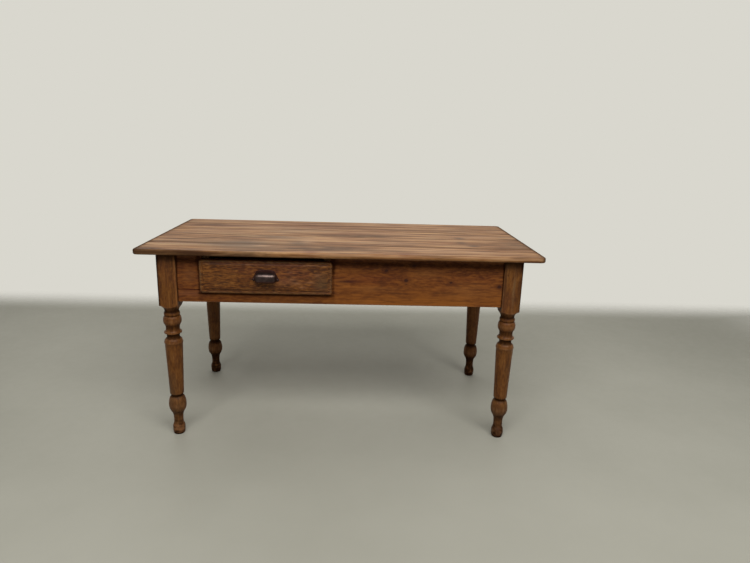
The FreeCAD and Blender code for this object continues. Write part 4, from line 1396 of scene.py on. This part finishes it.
LEG_STAINS = {
    "leg_front_left": [
        ((0.024, -0.642), (0.016, 0.060), tone(156, 104, 66), 0.75),
        ((0.013, -0.642), (0.002, 0.060), tone(46, 24, 12), 0.8),
        ((0.033, -0.642), (0.002, 0.060), tone(46, 24, 12), 0.7),
        ((0.640, -0.676), (0.140, 0.007), tone(34, 16, 6), 0.8),
        ((0.640, -0.610), (0.120, 0.004), tone(150, 96, 50), 0.7),
    ],
    "leg_front_right": [
        ((0.025, 0.642), (0.045, 0.080), tone(30, 17, 9), 0.7),
        ((0.120, 0.642), (0.040, 0.080), tone(76, 56, 36), 0.5),
        ((0.620, 0.648), (0.080, 0.006), tone(112, 82, 52), 0.7),
        ((0.640, 0.613), (0.120, 0.006), tone(48, 22, 8), 0.7),
        ((0.610, 0.668), (0.070, 0.005), tone(60, 34, 14), 0.6),
    ],
}
for index, name in enumerate(LEGS):
    low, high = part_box(name)
    middle = (low + high) / 2
    heart = (middle.x + 0.05, middle.y - 0.06)
    leg(name, wood(name + "_pine", LEG_PINE, "ZXY", heart, 70 + 9 * index, stains=LEG_STAINS.get(name, ())))

# A knot has its centre, its size and the growth rings that it pushes aside.
FRONT_KNOTS = [
    ((0.240, 0.655), 6.5 * MM, 3.5),
    ((0.410, 0.650), 5 * MM, 3.0),
    ((0.593, 0.637), 6 * MM, 3.0),
    ((0.268, 0.712), 5.5 * MM, 2.5),
    ((0.166, 0.690), 5 * MM, 2.5),
]
DARK_STREAK = tone(58, 22, 10)
RED_STREAK = tone(92, 34, 16)
PALE_STREAK = tone(146, 92, 44)
FRONT_STAINS = [
    ((0.028, 0.646), (0.045, 0.006), DARK_STREAK, 1.0),
    ((0.241, 0.640), (0.007, 0.004), DARK_STREAK, 0.8),
    ((0.165, 0.698), (0.006, 0.016), DARK_STREAK, 0.5),
    ((0.073, 0.570), (0.014, 0.004), DARK_STREAK, 0.8),
    ((0.396, 0.570), (0.020, 0.003), DARK_STREAK, 0.7),
    ((0.200, 0.607), (0.150, 0.004), DARK_STREAK, 0.45),
    ((0.330, 0.598), (0.100, 0.004), DARK_STREAK, 0.45),
    # Painted light: a broad pale band low on the apron, lighter towards the bottom.
    ((0.270, 0.566), (0.400, 0.042), tone(144, 84, 28), 1.0),
    ((-0.560, 0.588), (0.060, 0.012), tone(112, 66, 46), 0.6),
    ((-0.560, 0.604), (0.045, 0.003), tone(70, 12, 4), 1.0),
    ((0.100, 0.655), (0.080, 0.020), RED_STREAK, 0.35),
    ((0.480, 0.620), (0.100, 0.030), PALE_STREAK, 0.5),
    ((0.320, 0.680), (0.060, 0.018), PALE_STREAK, 0.45),
    ((0.130, 0.620), (0.080, 0.010), PALE_STREAK, 0.45),
    ((-0.560, 0.655), (0.026, 0.026), tone(124, 78, 42), 0.6),
]
front_apron(wood("front_apron_pine", FRAME_PINE, "XZY", (0.50, -0.25), 120, FRONT_KNOTS, FRONT_STAINS))
for name, outward, step, grain, heart, seed in (
    ("back_apron", (0, 1), 9 * MM, "XZY", (0.55, 0.42), 140),
    ("side_apron_left", (-1, 0), 8 * MM, "YZX", (0.58, -0.56), 150),
    ("side_apron_right", (1, 0), 8 * MM, "YZX", (0.60, 0.58), 160),
):
    plain_apron(name, outward, step, wood(name + "_pine", FRAME_PINE, grain, heart, seed))

PALE_SCRATCH = tone(152, 104, 70)
DARK_SCRATCH = tone(38, 16, 4)
DRAWER_STAINS = [
    ((-0.075, 0.640), (0.030, 0.040), tone(84, 68, 44), 0.7),
    ((-0.150, 0.670), (0.080, 0.030), tone(120, 68, 46), 0.45),
    ((-0.200, 0.640), (0.050, 0.014), tone(134, 88, 62), 0.45),
    ((-0.430, 0.660), (0.060, 0.020), tone(124, 76, 34), 0.45),
    ((-0.330, 0.610), (0.120, 0.014), tone(62, 36, 16), 0.5),
    ((-0.180, 0.652), (0.012, 0.004), PALE_SCRATCH, 0.8),
    ((-0.165, 0.639), (0.014, 0.003), PALE_SCRATCH, 0.8),
    ((-0.191, 0.678), (0.010, 0.003), PALE_SCRATCH, 0.7),
    ((-0.143, 0.622), (0.012, 0.004), PALE_SCRATCH, 0.7),
    ((-0.117, 0.642), (0.014, 0.004), PALE_SCRATCH, 0.6),
    ((-0.088, 0.669), (0.008, 0.005), PALE_SCRATCH, 0.6),
    ((-0.172, 0.646), (0.014, 0.003), DARK_SCRATCH, 0.8),
    ((-0.195, 0.663), (0.012, 0.004), DARK_SCRATCH, 0.8),
    ((-0.154, 0.679), (0.012, 0.003), DARK_SCRATCH, 0.8),
    ((-0.103, 0.690), (0.020, 0.003), DARK_SCRATCH, 0.7),
    ((-0.130, 0.652), (0.010, 0.004), DARK_SCRATCH, 0.7),
]
drawer_front(wood("drawer_front_oak", DRAWER_OAK, "XZY", (0.55, -0.30), 170, stains=DRAWER_STAINS))
pull_skin = iron("pull_iron")
drawer_pull(pull_skin)
pull_screws(pull_skin)
tenon_pegs(wood("peg_pine", LEG_PINE, "YXZ", (0.3, 0.2), 180))

for side, middle in (("left", -0.50), ("right", -0.06)):
    rough = wood("runner_pine_" + side, BARE_PINE, "YXZ", (middle - 0.05, 0.5), 190)
    for part in ("drawer_runner", "drawer_guide", "drawer_kicker"):
        dress_node(part + "_" + side, rough, 0.8 * MM)
    planed = wood("drawer_side_pine_" + side, BARE_PINE, "YZX", (0.5, middle - 0.05), 200)
    dress_node("drawer_side_" + side, planed, 0.4 * MM)
back_pine = wood("drawer_back_pine", BARE_PINE, "XZY", (0.58, 0.05), 210)
dress_node("drawer_back", back_pine, 0.4 * MM)
bottom_pine = wood("drawer_bottom_pine", BARE_PINE, "XYZ", (-0.2, 0.5), 220)
dress_node("drawer_bottom", bottom_pine, 0.4 * MM)
dress_node("top_buttons", wood("button_pine", BARE_PINE, "XYZ", (0.0, 0.6), 230), 0.6 * MM)
bright = steel("screw_steel")
dress_node("button_screws", bright, 0.2 * MM)
dress_node("drawer_bottom_nails", bright, 0.15 * MM)
